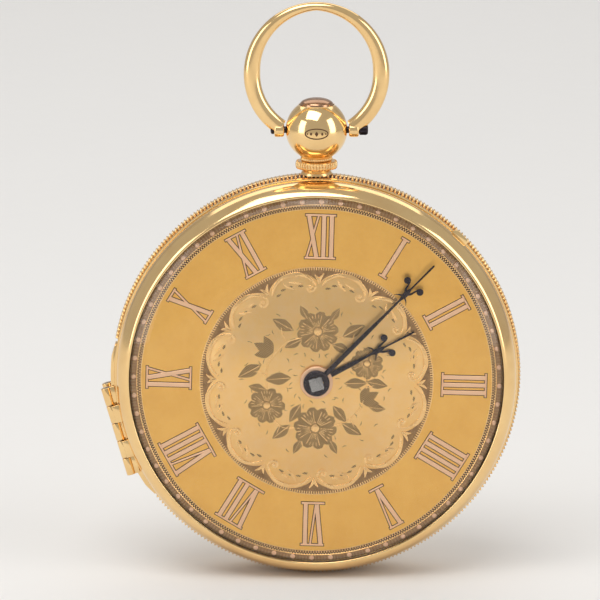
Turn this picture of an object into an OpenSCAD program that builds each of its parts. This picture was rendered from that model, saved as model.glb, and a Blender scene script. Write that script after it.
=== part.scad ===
// Open face pocket watch: key wound, hinged case, full plate movement with fusee and lever escapement.
// Millimetres. Each piece is drawn in the watch's own plane (x to 3 o'clock, y to 12 o'clock, z out of the
// dial) and then stood upright, so that +Z runs to 12 o'clock and the dial looks along -Y.
// The origin is on the hand axis at the front of the dial.

/* [Case] */
// Radius of the reeded band
case_r = 23; // [22.9:0.05:23.3]
// Radius of the glass seen inside the bezel
glass_r = 20.95; // [20.92:0.01:21]
// Height of the bezel's front edge over the dial
bezel_top = 0.6; // [0.55:0.05:0.7]
// Height of the glass at its middle over the dial
glass_top = 2.8; // [2.75:0.05:3.2]
// Depth of the back cover's flat behind the dial
back_depth = 11.05; // [11:0.05:11.6]
// Turn of both case joints below 9 o'clock
joint_angle = 16; // [10:1:20]

/* [Pendant and bow] */
// Height of the pendant ball's centre over the hand axis
ball_y = 27.9; // [27.8:0.1:28.2]
// Radius of the pendant ball
ball_r = 3.45; // [3.4:0.05:3.5]
// Height of the bow's centre over the hand axis
bow_y = 34.15; // [34.1:0.05:35]
// Outer radius of the bow
bow_r = 8.1; // [8.1:0.05:8.5]
// Thickness of the bow's wire
bow_wire = 1.4; // [1.2:0.1:1.5]

/* [Dial] */
// Radius of the dial
dial_r = 20.85; // [20.8:0.01:20.86]
// Inner end of the hour numerals
numeral_r0 = 14.05; // [13.6:0.05:14.2]
// Outer end of the hour numerals
numeral_r1 = 18.95; // [18.6:0.05:19]
// Radius of the carved medallion
medallion_r = 13; // [12.5:0.1:13.2]
// Clockwise turn of the dial's markings in the case
dial_turn = 1.5; // [0:0.1:3]

/* [Hands] */
// Length of the minute hand from the centre
minute_len = 18.7; // [17:0.1:19]
// Length of the hour hand from the centre
hour_len = 12.3; // [11:0.1:13]
// Angle of the minute hand, clockwise from 12 o'clock
minute_hand_angle = 44.3; // [0:0.1:359.9]
// Angle of the hour hand, clockwise from 12 o'clock
hour_hand_angle = 62.1; // [0:0.1:359.9]

/* [Movement] */
// Radius of the pillar plate
pillar_plate_r = 20.6; // [20.4:0.05:20.6]
// Radius of the top plate
top_plate_r = 18.5; // [18.3:0.1:18.8]
// Teeth of the great wheel on the fusee
great_teeth = 72; // [72]
// Teeth of the centre wheel
centre_teeth = 64; // [64]
// Teeth of the third wheel
third_teeth = 60; // [60]
// Teeth of the fourth wheel
fourth_teeth = 64; // [64]
// Radius of the balance
balance_r = 6.2; // [6:0.1:6.3]

/* [Hidden] */
$fn = 72;
EPS = 0.02;

// Colours
GOLD = "goldenrod";
DIAL_GOLD = "gold";
ROSE = "peru";
GILT = "khaki";
STEEL = "lightsteelblue";
BLUED = "midnightblue";
RUBY = "crimson";
GLASS = [0.85, 0.9, 0.92, 0.35];
DARK = "saddlebrown";

// Case heights, all measured from the front of the dial
band_front = -2.2;
band_back = -5.3;
reeds_z = [-4.35, -2.75];
lip_r = case_r - 0.3;
band_mid = (band_front + band_back) / 2;
wall_r = 21.4;
seat_r = 19.8;
seat_front = -2.8;
seat_back = -3.6;
cover_z = band_back - 0.05;
cover_flat_r = 12;
cover_wall = 0.45;
cuvette_depth = 10.15;
cuvette_wall = 0.3;

// Case joints
hinge_r = case_r + 0.2;
hinge_half = 5.2;
knuckle_r = 0.55;
hinge_pin_r = 0.22;
hinge_bore_r = 0.26;
front_hinge_z = band_front - 0.35;
back_hinge_z = -5;
front_case_knuckles = [[-5.2, -3.2], [-1, 1], [3.2, 5.2]];
front_bezel_knuckles = [[-3.1, -1.1], [1.1, 3.1]];
back_case_knuckles = [[-5.2, -3.9], [-0.7, 0.7], [3.9, 5.2]];
back_cover_knuckles = [[-3.8, -2.3], [2.3, 3.8]];
back_cuvette_knuckles = [[-2.2, -0.8], [0.8, 2.2]];

// Pendant
ball_flat = ball_y + 2.85;
push_r = 1.84;
push_rod_r = 0.5;
push_rod_end = 21.45;
bow_gap = 0.17;
bow_eye = [3.65, 4.7];
bow_screw_r = 0.38;

// Dial and motion work heights
track_r = [20.1, 20.83];
stud_ring_r = 20.45;
dial_back = -0.4;
dial_hole_r = 1.3;
hour_hand_z = 0.4;
minute_hand_z = 0.85;
hand_thick = 0.15;
square_top = 1.6;

// Plates
pillar_front = -1.8;
pillar_back = -2.8;
top_front = -6;
top_back = -6.8;
pillar_ring_r = 16.8;
pillar_angles = [20, 100, 192, 268, 318];
dial_feet_angles = [60, 180, 300];
dial_feet_r = 17;
dog_angles = [45, 225];
dog_ring_r = 19.2;

// Train: module of each pair of wheels and the places of the arbors
great_m = 0.22;
centre_m = 0.18;
third_m = 0.16;
fourth_m = 0.14;
minute_m = 0.15;
hour_m = 0.144;
centre_leaves = 12;
leaves = 8;
cannon_leaves = 12;
minute_teeth = 36;
minute_leaves = 10;
hour_teeth = 40;
fusee_dir = 145;
third_dir = 60;
fourth_dir = -40;
escape_dir = -80;
lever_dir = -100;
balance_dir = 210;
minute_dir = -30;
fusee_at = polar(great_m * (great_teeth + centre_leaves) / 2, fusee_dir);
third_at = polar(centre_m * (centre_teeth + leaves) / 2, third_dir);
fourth_at = third_at + polar(third_m * (third_teeth + leaves) / 2, fourth_dir);
escape_at = fourth_at + polar(fourth_m * (fourth_teeth + leaves) / 2, escape_dir);
lever_at = escape_at + polar(3.695, lever_dir);
balance_at = lever_at + polar(4.6, balance_dir);
barrel_at = polar(11.2, 241);
minute_at = polar(minute_m * (minute_teeth + cannon_leaves) / 2, minute_dir);
barrel_r = 6.8;
barrel_z = [-5.2, -3];
fusee_z = [-5.25, -3.5];
fusee_r = [3.6, 6.4];
fusee_turns = 7;
chain_z = [-4.25, -4];
chain_thick = 0.25;
winding_square = 1.25;
setting_square = 1.45;
pivot_r = 0.2;
pivot_hole_r = 0.23;
fine_pivot_r = 0.12;
fine_pivot_hole_r = 0.15;
jewel_r = 0.75;
escape_teeth = 15;
escape_r = 3.1;
cock_z = [-8.85, -8.35];
cock_foot_at = polar(16.6, atan2(balance_at[1], balance_at[0]));
rim_z = [-7.5, -7.15];
hairspring_z = [-7.87, -7.75];
potence_z = [-4.95, -4.6];

// Catch spring of the back
catch_r = 21;
catch_thick = 0.5;
catch_z = [-5, -3.75];
catch_start = 56;
catch_end = 92;

function polar(r, a) = [r * cos(a), r * sin(a)];

// Outline of a wheel whose teeth narrow from root to tip; one tooth is centred on the angle phase
function teeth_outline(count, size, phase) = [
    for (i = [0 : count - 1])
        for (p = [[-1.25, -0.23], [0.75, -0.11], [0.75, 0.11], [-1.25, 0.23]])
            polar(size * (count / 2 + p[0]), phase + (i + p[1]) * 360 / count)
];

// Half a curve of a hollow cover: from its rim at radius r0 in to the flat at depth d
function cover_curve(r0, d, steps) = [
    for (i = [0 : steps])
        let (t = 90 * i / steps)
            [cover_flat_r + (r0 - cover_flat_r) * pow(cos(t), 0.75), cover_z - (d + cover_z) * pow(sin(t), 0.75)]
];

// Both sides of a flat spiral band
function spiral_band(r0, r1, turns, thick, steps) = concat(
    [for (i = [0 : steps]) polar(r0 + (r1 - r0) * i / steps, 360 * turns * i / steps)],
    [for (i = [steps : -1 : 0]) polar(r0 + (r1 - r0) * i / steps + thick, 360 * turns * i / steps)]
);

// Stands the watch upright from its own plane
module upright() {
    rotate([90, 0, 0]) children();
}

module at(place) {
    translate([place[0], place[1], 0]) children();
}

// A round slab between two heights
module slab(r, z) {
    translate([0, 0, z[0]]) cylinder(r = r, h = z[1] - z[0]);
}

// A flat plate of the given outline between two heights
module plate(z) {
    translate([0, 0, z[0]]) linear_extrude(height = z[1] - z[0]) children();
}

// Turns a shape about the pendant's axis, which runs along y through the middle of the band
module along_pendant() {
    translate([0, 0, band_mid]) rotate([-90, 0, 0]) children();
}

// Puts a shape on a case joint's axis: its z runs up along the joint
module on_joint(z) {
    rotate([0, 0, joint_angle]) translate([-hinge_r, 0, z]) rotate([-90, 0, 0]) children();
}

module knuckle_solids(spans, r) {
    for (s = spans) {
        slab(r, s);
    }
}

// Wheel with crossings cut out between its hub and its rim
module crossed_wheel(count, size, phase, hub, bore, arms, arm_w) {
    rim_in = size * (count / 2 - 3.2);
    difference() {
        polygon(teeth_outline(count, size, phase));
        difference() {
            circle(r = rim_in);
            circle(r = hub);
            for (i = [0 : arms - 1]) {
                rotate(phase + i * 360 / arms) translate([0, -arm_w / 2]) square([rim_in + 1, arm_w]);
            }
        }
        circle(r = bore);
    }
}

// ---- Case ----

module case_band() {
    color(GOLD) upright() {
        difference() {
            union() {
                rotate_extrude() polygon([
                    [wall_r, band_back], [lip_r - 0.1, band_back], [lip_r, band_back + 0.1],
                    [lip_r, reeds_z[0]], [case_r, reeds_z[0]], [case_r, reeds_z[1]], [lip_r, reeds_z[1]],
                    [lip_r, band_front - 0.1], [lip_r - 0.1, band_front], [wall_r, band_front]
                ]);
                rotate_extrude() polygon([
                    [seat_r, seat_back], [wall_r + 0.3, seat_back], [wall_r + 0.3, seat_front], [seat_r, seat_front]
                ]);
            }
            on_joint(front_hinge_z) slab(knuckle_r + 0.1, [-hinge_half - 0.05, hinge_half + 0.05]);
            on_joint(back_hinge_z) slab(knuckle_r + 0.1, [-hinge_half - 0.05, hinge_half + 0.05]);
            along_pendant() slab(push_rod_r + 0.1, [seat_r - 1, case_r + 1]);
            translate([-1.7, seat_r - 1, seat_back - 1]) cube([3.4, wall_r - seat_r + 0.9, 2]);
        }
        joint_knuckles(front_hinge_z, front_case_knuckles);
        joint_knuckles(back_hinge_z, back_case_knuckles);
    }
}

// Knuckles of the band, each on a short root that runs in to the band
module joint_knuckles(z, spans) {
    difference() {
        on_joint(z) union() {
            knuckle_solids(spans, knuckle_r);
            for (s = spans) {
                translate([0, -0.3, s[0]]) cube([1.1, 0.6, s[1] - s[0]]);
            }
        }
        on_joint(z) slab(hinge_pin_r, [-hinge_half - 1, hinge_half + 1]);
    }
}

module hinge_pins() {
    color(STEEL) upright() {
        on_joint(front_hinge_z) slab(hinge_pin_r, [-hinge_half, hinge_half]);
        on_joint(back_hinge_z) slab(hinge_pin_r, [-hinge_half, hinge_half]);
    }
}

module bezel() {
    lip_angle = 45;
    color(GOLD) upright() difference() {
        union() {
            rotate_extrude() polygon([
                [21.55, band_front + 0.05], [22.4, band_front + 0.05], [22.48, -1.7], [22.42, -1.2],
                [22.2, -0.6], [21.85, -0.05], [21.5, 0.35], [21.25, bezel_top - 0.04], [21.1, bezel_top],
                [glass_r, 0.5], [glass_r, 0.3], [21.3, 0.3], [21.3, band_front + 0.05]
            ]);
            difference() {
                translate([0, 0, band_front]) rotate_extrude() {
                    polygon([[21.05, -0.55], [21.35, -0.55], [21.35, 0.45], [21.05, 0.2]]);
                }
                rotate([0, 0, 180 + joint_angle]) translate([14, -20, band_front - 1]) cube([12, 40, 1]);
            }
            rotate([0, 0, lip_angle]) translate([22.3, -1.1, band_front + 0.05]) cube([0.75, 2.2, 0.3]);
            on_joint(front_hinge_z) {
                for (s = front_bezel_knuckles) {
                    slab(knuckle_r, s);
                    translate([0.1, -0.85, s[0]]) cube([0.9, 0.45, s[1] - s[0]]);
                }
            }
        }
        on_joint(front_hinge_z) slab(hinge_bore_r, [-hinge_half, hinge_half]);
        on_joint(front_hinge_z) for (s = front_case_knuckles) {
            slab(knuckle_r + 0.12, [s[0] - 0.1, s[1] + 0.1]);
        }
    }
}

module crystal() {
    outer_r = 20.85;
    inner_r = 20.6;
    edge_z = 0.6;
    rise = glass_top - edge_z;
    thick = 0.5;
    steps = 20;
    color(GLASS) upright() rotate_extrude() polygon(concat(
        [[0, glass_top - thick], [0, glass_top]],
        [for (i = [1 : steps]) [outer_r * i / steps, glass_top - rise * pow(i / steps, 6)]],
        [[outer_r + 0.05, 0.25], [21.25, 0.25], [21.25, -0.1], [20.95, -0.1], [20.9, 0.08]],
        [for (i = [steps : -1 : 1]) [inner_r * i / steps, glass_top - thick - (rise - 0.28) * pow(i / steps, 6)]]
    ));
}

module back_cover() {
    color(GOLD) upright() difference() {
        union() {
            rotate_extrude() polygon(concat(
                cover_curve(lip_r - 0.1, back_depth, 12),
                [[0, -back_depth], [0, -back_depth + cover_wall]],
                [for (i = [12 : -1 : 0]) cover_curve(case_r - 1.1, back_depth - cover_wall, 12)[i]]
            ));
            on_joint(back_hinge_z) for (s = back_cover_knuckles) {
                slab(knuckle_r, s);
                translate([0.1, 0.36, s[0]]) cube([0.9, 0.5, s[1] - s[0]]);
            }
        }
        on_joint(back_hinge_z) slab(hinge_bore_r, [-hinge_half, hinge_half]);
        on_joint(back_hinge_z) translate([-0.2, 0, -2.25]) cube([3, 1, 4.5]);
        on_joint(back_hinge_z) for (s = [back_case_knuckles[0], back_case_knuckles[2]]) {
            slab(knuckle_r + 0.12, [s[0] - 0.1, s[1] + 0.1]);
        }
    }
}

module cuvette() {
    rim_r = 21.6;
    outer_r = 21.25;
    color(GOLD) upright() difference() {
        union() {
            rotate_extrude() polygon(concat(
                [[rim_r, cover_z], [rim_r, cover_z - 0.35], [outer_r, cover_z - 0.35]],
                [for (i = [1 : 12]) cover_curve(outer_r, cuvette_depth, 12)[i]],
                [[0, -cuvette_depth], [0, -cuvette_depth + cuvette_wall]],
                [for (i = [12 : -1 : 0]) cover_curve(outer_r - 0.35, cuvette_depth - cuvette_wall, 12)[i]]
            ));
            on_joint(back_hinge_z) for (s = back_cuvette_knuckles) {
                slab(knuckle_r, s);
                translate([0.1, 0.37, s[0]]) cube([1.75, 0.3, s[1] - s[0]]);
            }
        }
        on_joint(back_hinge_z) slab(hinge_bore_r, [-hinge_half, hinge_half]);
        at(fusee_at) slab(1.7, [-12, -8]);
    }
}

module pendant_ball() {
    color(GOLD) upright() along_pendant() difference() {
        union() {
            translate([0, 0, ball_y]) sphere(r = ball_r, $fn = 72);
            slab(1.65, [24.5, ball_y]);
        }
        slab(push_r + 0.06, [ball_flat - 1.35, ball_flat + 2]);
        slab(1.25, [ball_y - 1.6, ball_flat]);
        slab(push_rod_r + 0.06, [20, ball_flat]);
        translate([0, 0, ball_y]) rotate([0, 90, 0]) slab(bow_screw_r, [-6, -2.2]);
        translate([0, 0, ball_y]) rotate([0, 90, 0]) slab(bow_screw_r, [2.2, 6]);
        slab(3, [ball_flat, ball_flat + 2]);
        slab(3, [ball_y - ball_r - 1, 24.5]);
    }
}

module pendant_collar() {
    color(GOLD) upright() along_pendant() difference() {
        rotate_extrude() polygon([
            [push_rod_r + 0.06, case_r - 0.1], [1.75, case_r - 0.1], [1.5, case_r + 0.3], [1.62, case_r + 0.5],
            [2.2, case_r + 0.55], [2.36, case_r + 0.75], [2.36, case_r + 1.25], [2.2, case_r + 1.45],
            [1.65, 24.5], [push_rod_r + 0.06, 24.5]
        ]);
        rotate([90, 0, 0]) slab(case_r, [-6, 6]);
    }
}

module bow_screws() {
    color(BLUED) upright() along_pendant() translate([0, 0, ball_y]) rotate([0, 90, 0]) {
        slab(bow_screw_r, [2.2, bow_eye[1] + 0.12]);
        slab(0.55, [bow_eye[1] + 0.08, 5.75]);
        slab(bow_screw_r, [-bow_eye[1] - 0.12, -2.2]);
        slab(0.5, [-5.15, -bow_eye[1] - 0.08]);
    }
}

module bow() {
    wire_r = bow_wire / 2;
    ring_r = bow_r - wire_r;
    color(GOLD) upright() along_pendant() difference() {
        union() {
            difference() {
                translate([0, 0, bow_y]) rotate([90, 0, 0]) rotate_extrude() translate([ring_r, 0]) circle(r = wire_r);
                translate([-10, -3, 20]) cube([20, 6, ball_y - 20 + 0.3]);
            }
            translate([0, 0, ball_y]) rotate([0, 90, 0]) slab(1.05, bow_eye);
            translate([0, 0, ball_y]) rotate([0, 90, 0]) slab(1.05, [-bow_eye[1], -bow_eye[0]]);
        }
        translate([0, 0, ball_y]) sphere(r = ball_r + bow_gap, $fn = 72);
        translate([0, 0, ball_y]) rotate([0, 90, 0]) slab(bow_screw_r + 0.05, [-6, 6]);
        translate([0, 0, ball_y]) rotate([0, 90, 0]) slab(0.7, [bow_eye[1], 7]);
        translate([0, 0, ball_y]) rotate([0, 90, 0]) slab(0.7, [-7, -bow_eye[1]]);
    }
}

module push_piece() {
    cap_base = ball_flat - 0.7;
    color(DARK) upright() along_pendant() {
        rotate_extrude() polygon([
            [0, push_rod_end], [push_rod_r, push_rod_end], [push_rod_r, cap_base], [push_r, cap_base],
            [push_r, ball_flat + 0.15], [1.5, ball_flat + 0.5], [0.9, ball_flat + 0.72], [0, ball_flat + 0.8]
        ]);
    }
}

// A coil of round wire that stands in the pendant under the push piece's cap
module push_spring() {
    r = 0.9;
    wire = 0.13;
    turns = 4;
    low = ball_y - 1.4;
    high = ball_flat - 0.95;
    rings = turns * 14;
    sides = 6;
    points = [
        for (i = [0 : rings])
            let (a = 360 * turns * i / rings, z = low + (high - low) * i / rings)
                for (j = [0 : sides - 1])
                    let (b = 360 * j / sides, q = r + wire * cos(b))
                        [q * cos(a), q * sin(a), z + wire * sin(b)]
    ];
    walls = [
        for (i = [0 : rings - 1])
            for (j = [0 : sides - 1])
                let (k = (j + 1) % sides)
                    [i * sides + j, i * sides + k, (i + 1) * sides + k, (i + 1) * sides + j]
    ];
    ends = [[for (j = [sides - 1 : -1 : 0]) j], [for (j = [0 : sides - 1]) rings * sides + j]];
    color(STEEL) upright() along_pendant() polyhedron(points = points, faces = concat(walls, ends));
}

// Leaf along the inside of the band, with a tab in front of the push piece's rod
module catch_spring() {
    color(STEEL) upright() {
        difference() {
            plate(catch_z) band_arc(catch_r, catch_thick, catch_start - 4, catch_end);
            at(polar(catch_r - 0.1, catch_start)) slab(0.15, [-6, -3]);
        }
        plate([catch_z[1] - EPS, band_mid + 0.55]) band_arc(catch_r + 0.1, catch_thick - 0.2, 88.4, 91.6);
    }
}

module band_arc(r, thick, from, to) {
    steps = 12;
    polygon(concat(
        [for (i = [0 : steps]) polar(r - thick / 2, from + (to - from) * i / steps)],
        [for (i = [steps : -1 : 0]) polar(r + thick / 2, from + (to - from) * i / steps)]
    ));
}

// ---- Dial and hands ----

module dial() {
    color(DIAL_GOLD) upright() {
        difference() {
            slab(dial_r, [dial_back, 0]);
            slab(dial_hole_r, [-1, 1]);
        }
        for (a = dial_feet_angles) {
            at(polar(dial_feet_r, a)) slab(0.35, [-2.5, dial_back + EPS]);
        }
    }
}

module minute_track() {
    color(DARK) upright() difference() {
        slab(track_r[1], [0, 0.04]);
        slab(track_r[0], [-1, 1]);
    }
}

module minute_studs() {
    color(ROSE) upright() for (i = [0 : 59]) {
        at(polar(stud_ring_r, i * 6 - dial_turn)) slab(0.2, [0.04, 0.14]);
    }
}

// One stroke of a numeral from point a to point b
module stroke(a, b, w) {
    run = b - a;
    translate(a) rotate(atan2(run[1], run[0])) translate([0, -w / 2]) square([norm(run), w]);
}

// Strokes of a numeral, standing on y = 0 and centred on x = 0, each with its place along the line
module numeral(letters) {
    tall = numeral_r1 - numeral_r0;
    thick = 0.45;
    thin = 0.16;
    widths = [for (c = letters) c == "I" ? 0.78 : 1.5];
    starts = [for (i = [0 : len(widths)]) i == 0 ? 0 : sum_to(widths, i)];
    whole = starts[len(widths)];
    for (i = [0 : len(letters) - 1]) {
        x = starts[i] - whole / 2;
        w = widths[i];
        if (letters[i] == "I") {
            stroke([x + w / 2, 0], [x + w / 2, tall], thick);
        }
        if (letters[i] == "V") {
            stroke([x + 0.25, tall], [x + w / 2, 0], thick);
            stroke([x + w - 0.2, tall], [x + w / 2, 0], thin);
        }
        if (letters[i] == "X") {
            stroke([x + 0.25, tall], [x + w - 0.25, 0], thick);
            stroke([x + w - 0.2, tall], [x + 0.2, 0], thin);
        }
    }
    for (y = [0, tall]) {
        stroke([-whole / 2, y], [whole / 2, y], thin);
    }
}

function sum_to(list, n) = n == 0 ? 0 : list[n - 1] + sum_to(list, n - 1);

module hour_numerals() {
    letters = ["XII", "I", "II", "III", "IIII", "V", "VI", "VII", "VIII", "IX", "X", "XI"];
    color(ROSE) upright() for (i = [0 : 11]) {
        rotate([0, 0, -30 * i - dial_turn]) translate([0, numeral_r0, 0]) plate([0, 0.12]) numeral(letters[i]);
    }
}

// Low disc with twelve scallops round its edge
module dial_medallion() {
    color(DIAL_GOLD) upright() difference() {
        union() {
            slab(medallion_r - 2, [0, 0.04]);
            for (i = [0 : 11]) {
                at(polar(medallion_r - 3, 15 + 30 * i - dial_turn)) slab(2.75, [0, 0.04]);
            }
        }
        slab(dial_hole_r, [-1, 1]);
    }
}

// Wreath of flowers: five petals about a middle, and a leaf beside each
module dial_flowers() {
    places = [[0, 5.6, 0.95], [0, -5.3, 1], [-5.1, -2.9, 0.85], [5.3, 2.2, 0.7], [5, -2.2, 0.6], [-4.9, 3.2, 0.6]];
    color(GILT) upright() rotate([0, 0, -dial_turn]) for (f = places) {
        at([f[0], f[1]]) {
            for (i = [0 : 4]) {
                at(polar(f[2], 90 + 72 * i)) slab(0.62 * f[2], [0.04, 0.1]);
            }
            slab(0.45 * f[2], [0.04, 0.13]);
        }
    }
}

// Blade that widens at its root, with a hub of two curled arms part of the way along
module hand_outline(length, hub_at, eye_r, root_w) {
    polygon([
        [-root_w / 2, 0], [-0.12, hub_at], [-0.09, length - 1], [0, length], [0.09, length - 1], [0.12, hub_at],
        [root_w / 2, 0]
    ]);
    circle(r = eye_r);
    for (s = [-1, 1]) {
        stroke([0, hub_at - 0.5], [s * 0.9, hub_at - 0.1], 0.28);
        stroke([s * 0.85, hub_at - 0.2], [s * 0.97, hub_at + 1.25], 0.26);
        translate([s * 0.97, hub_at + 1.25]) circle(r = 0.45);
        stroke([0, hub_at - 0.2], [s * 0.9, hub_at - 0.95], 0.2);
    }
    translate([0, hub_at]) circle(r = 0.35);
}

module hour_hand() {
    color(BLUED) upright() difference() {
        union() {
            rotate([0, 0, -hour_hand_angle]) plate([hour_hand_z, hour_hand_z + hand_thick]) {
                hand_outline(hour_len, 7.8, 1.84, 0.6);
            }
            slab(1.84, [hour_hand_z - 0.1, hour_hand_z + 0.3]);
        }
        slab(1.15, [-1, 2]);
    }
}

module minute_hand() {
    color(BLUED) upright() difference() {
        union() {
            rotate([0, 0, -minute_hand_angle]) plate([minute_hand_z, minute_hand_z + hand_thick]) {
                hand_outline(minute_len, 14.2, 1.47, 0.6);
            }
            slab(1.47, [minute_hand_z - 0.05, minute_hand_z + 0.3]);
        }
        slab(0.72, [-1, 2]);
    }
}

// ---- Motion work ----

module cannon_pinion() {
    color(STEEL) upright() difference() {
        union() {
            plate([-1.6, -1.1]) polygon(teeth_outline(cannon_leaves, minute_m, minute_dir));
            slab(0.72, [-1.1 - EPS, 1.15]);
            rotate([0, 0, 15]) plate([1.15, square_top]) square(setting_square, center = true);
            slab(0.53, [square_top - EPS, square_top + 0.12]);
        }
        slab(0.4, [-3, square_top - 0.3]);
    }
}

module minute_wheel() {
    color(GILT) upright() at(minute_at) difference() {
        union() {
            plate([-1.45, -1.25]) {
                crossed_wheel(minute_teeth, minute_m, minute_dir + 180 + 180 / minute_teeth, 0.9, 0.3, 4, 0.4);
            }
            plate([-1.25 - EPS, -0.5]) polygon(teeth_outline(minute_leaves, hour_m, minute_dir + 180));
        }
        slab(0.34, [-2, 0]);
    }
}

module hour_wheel() {
    color(GILT) upright() difference() {
        union() {
            plate([-0.9, -0.65]) {
                crossed_wheel(hour_teeth, hour_m, minute_dir + 180 / hour_teeth, 1.3, 0.8, 4, 0.5);
            }
            slab(1.15, [-0.65 - EPS, hour_hand_z + 0.33]);
        }
        slab(0.78, [-2, 2]);
    }
}

// ---- Plates and fixed movement pieces ----

module pillar_plate() {
    color(GILT) upright() {
        difference() {
            slab(pillar_plate_r, [pillar_back, pillar_front]);
            slab(0.75, [-4, 0]);
            at(fusee_at) slab(0.55, [-4, -1.95]);
            at(barrel_at) slab(0.8, [-4, 0]);
            for (p = [third_at, fourth_at, escape_at, lever_at]) {
                at(p) slab(jewel_r, [-2.4, 0]);
                at(p) slab(0.5, [-4, 0]);
            }
            for (a = dial_feet_angles) {
                at(polar(dial_feet_r, a)) slab(0.37, [-4, 0]);
            }
            for (a = dog_angles) {
                at(polar(dog_ring_r, a)) slab(0.4, [-4, -2]);
            }
            translate([-1.8, 19.9, -4]) cube([3.6, 3, 4]);
        }
        at(minute_at) slab(0.3, [pillar_front - EPS, -0.55]);
    }
}

module pillars() {
    color(GILT) upright() for (a = pillar_angles) {
        at(polar(pillar_ring_r, a)) difference() {
            rotate_extrude() polygon([
                [0, top_front], [1.1, top_front], [1.1, -5.6], [0.8, -5.3], [0.65, -4.4], [0.8, -3.5], [1.1, -3.2],
                [1.1, pillar_back], [0, pillar_back]
            ]);
            slab(0.4, [-7, -4.6]);
        }
    }
}

module top_plate() {
    color(GILT) upright() difference() {
        slab(top_plate_r, [top_back, top_front]);
        slab(0.4, [-8, -5]);
        at(fusee_at) slab(0.96, [-8, -5]);
        at(barrel_at) slab(0.8, [-8, -5]);
        at(balance_at) slab(1.1, [-8, -5]);
        for (p = [third_at, fourth_at, escape_at, lever_at]) {
            at(p) slab(jewel_r, [-8, -6.3]);
            at(p) slab(0.5, [-8, -5]);
        }
        for (a = pillar_angles) {
            at(polar(pillar_ring_r, a)) slab(0.4, [-8, -5]);
        }
        at(cock_foot_at) slab(0.4, [-8, -5]);
    }
}

// Slotted screw: head on the outer side, shank towards the dial
module screw(head_r, head_z, shank_r, shank_to) {
    difference() {
        slab(head_r, head_z);
        translate([-head_r - 1, -0.12, head_z[0] - 1]) cube([2 * head_r + 2, 0.24, 1.15]);
    }
    slab(shank_r, [head_z[1] - EPS, shank_to]);
}

module plate_screws() {
    color(BLUED) upright() {
        for (a = pillar_angles) {
            at(polar(pillar_ring_r, a)) rotate([0, 0, a * 2]) screw(0.9, [top_back - 0.35, top_back], 0.4, -4.7);
        }
        at(cock_foot_at) rotate([0, 0, 30]) screw(0.8, [cock_z[0] - 0.15, cock_z[0] + 0.15], 0.4, -6.2);
    }
}

module dog_screws() {
    color(BLUED) upright() for (a = dog_angles) {
        at(polar(dog_ring_r, a)) rotate([0, 0, 45]) screw(0.95, [-4, seat_back], 0.4, -2.1);
    }
}

module jewel_ring(z, hole) {
    difference() {
        slab(jewel_r, z);
        slab(hole, [z[0] - 1, z[1] + 1]);
    }
}

module jewels() {
    color(RUBY) upright() {
        for (p = [third_at, fourth_at, escape_at]) {
            at(p) jewel_ring([-2.4, pillar_front], pivot_hole_r);
            at(p) jewel_ring([top_back, -6.3], pivot_hole_r);
        }
        at(lever_at) jewel_ring([-2.4, pillar_front], fine_pivot_hole_r);
        at(lever_at) jewel_ring([top_back, -6.3], fine_pivot_hole_r);
        at(balance_at) jewel_ring(potence_z, fine_pivot_hole_r);
        at(balance_at) jewel_ring([cock_z[0], cock_z[1]], fine_pivot_hole_r);
    }
}

// Bracket under the top plate that holds the lower pivot of the balance staff
module potence() {
    foot_dir = 285;
    color(GILT) upright() at(balance_at) difference() {
        union() {
            slab(1.2, potence_z);
            rotate([0, 0, foot_dir]) translate([0, -0.6, potence_z[0]]) cube([2.6, 1.2, potence_z[1] - potence_z[0]]);
            rotate([0, 0, foot_dir]) translate([1.6, -0.9, top_front]) cube([1.3, 1.8, potence_z[1] - top_front]);
        }
        slab(jewel_r, [-6, -4]);
    }
}

// Cock over the balance: a round table on an arm that rises from a foot on the top plate
module balance_cock() {
    run = cock_foot_at - balance_at;
    reach = norm(run);
    color(GILT) upright() at(balance_at) rotate([0, 0, atan2(run[1], run[0])]) difference() {
        union() {
            slab(2.6, cock_z);
            plate(cock_z) polygon([[0, -1.6], [reach + 0.9, -2.3], [reach + 0.9, 2.3], [0, 1.6]]);
            plate([cock_z[1] - EPS, top_back]) {
                polygon([[reach - 0.65, -2.2], [reach + 0.9, -2.3], [reach + 0.9, 2.3], [reach - 0.65, 2.2]]);
            }
        }
        slab(jewel_r, [-10, -8]);
        translate([reach, 0, 0]) slab(0.4, [-10, -6]);
        translate([reach, 0, 0]) slab(0.85, [-10, cock_z[0] + 0.15]);
    }
}

module regulator() {
    color(STEEL) upright() at(balance_at) difference() {
        union() {
            slab(1.35, [cock_z[0] - 0.2, cock_z[0]]);
            rotate([0, 0, 120]) plate([cock_z[0] - 0.2, cock_z[0]]) {
                polygon([[0, -0.5], [4.3, -0.12], [4.3, 0.12], [0, 0.5]]);
            }
        }
        slab(0.95, [-10, -8]);
    }
}

module hairspring_stud() {
    color(STEEL) upright() at(balance_at) rotate([0, 0, 180]) translate([2.3, 0, 0]) {
        plate([cock_z[1], hairspring_z[1]]) square([0.35, 0.35], center = true);
    }
}

module hairspring() {
    color(BLUED) upright() at(balance_at) plate(hairspring_z) polygon(spiral_band(0.5, 2.05, 6.5, 0.06, 156));
}

module barrel_arbor() {
    color(STEEL) upright() at(barrel_at) {
        slab(0.8, [-7, -1.75]);
        rotate([0, 0, 20]) plate([-1.75 - EPS, -1.3]) square(1.1, center = true);
        rotate([0, 0, 20]) plate([-7.6, -7 + EPS]) square(1.1, center = true);
    }
}

// Ratchet and click under the dial that set up the mainspring
module setup_ratchet() {
    count = 20;
    color(STEEL) upright() at(barrel_at) plate([-1.75, -1.35]) rotate(20) difference() {
        polygon([
            for (i = [0 : count - 1])
                for (p = [[1.85, 0], [2.2, 0.85]])
                    polar(p[0], (i + p[1]) * 360 / count)
        ]);
        square(1.1, center = true);
    }
}

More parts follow.
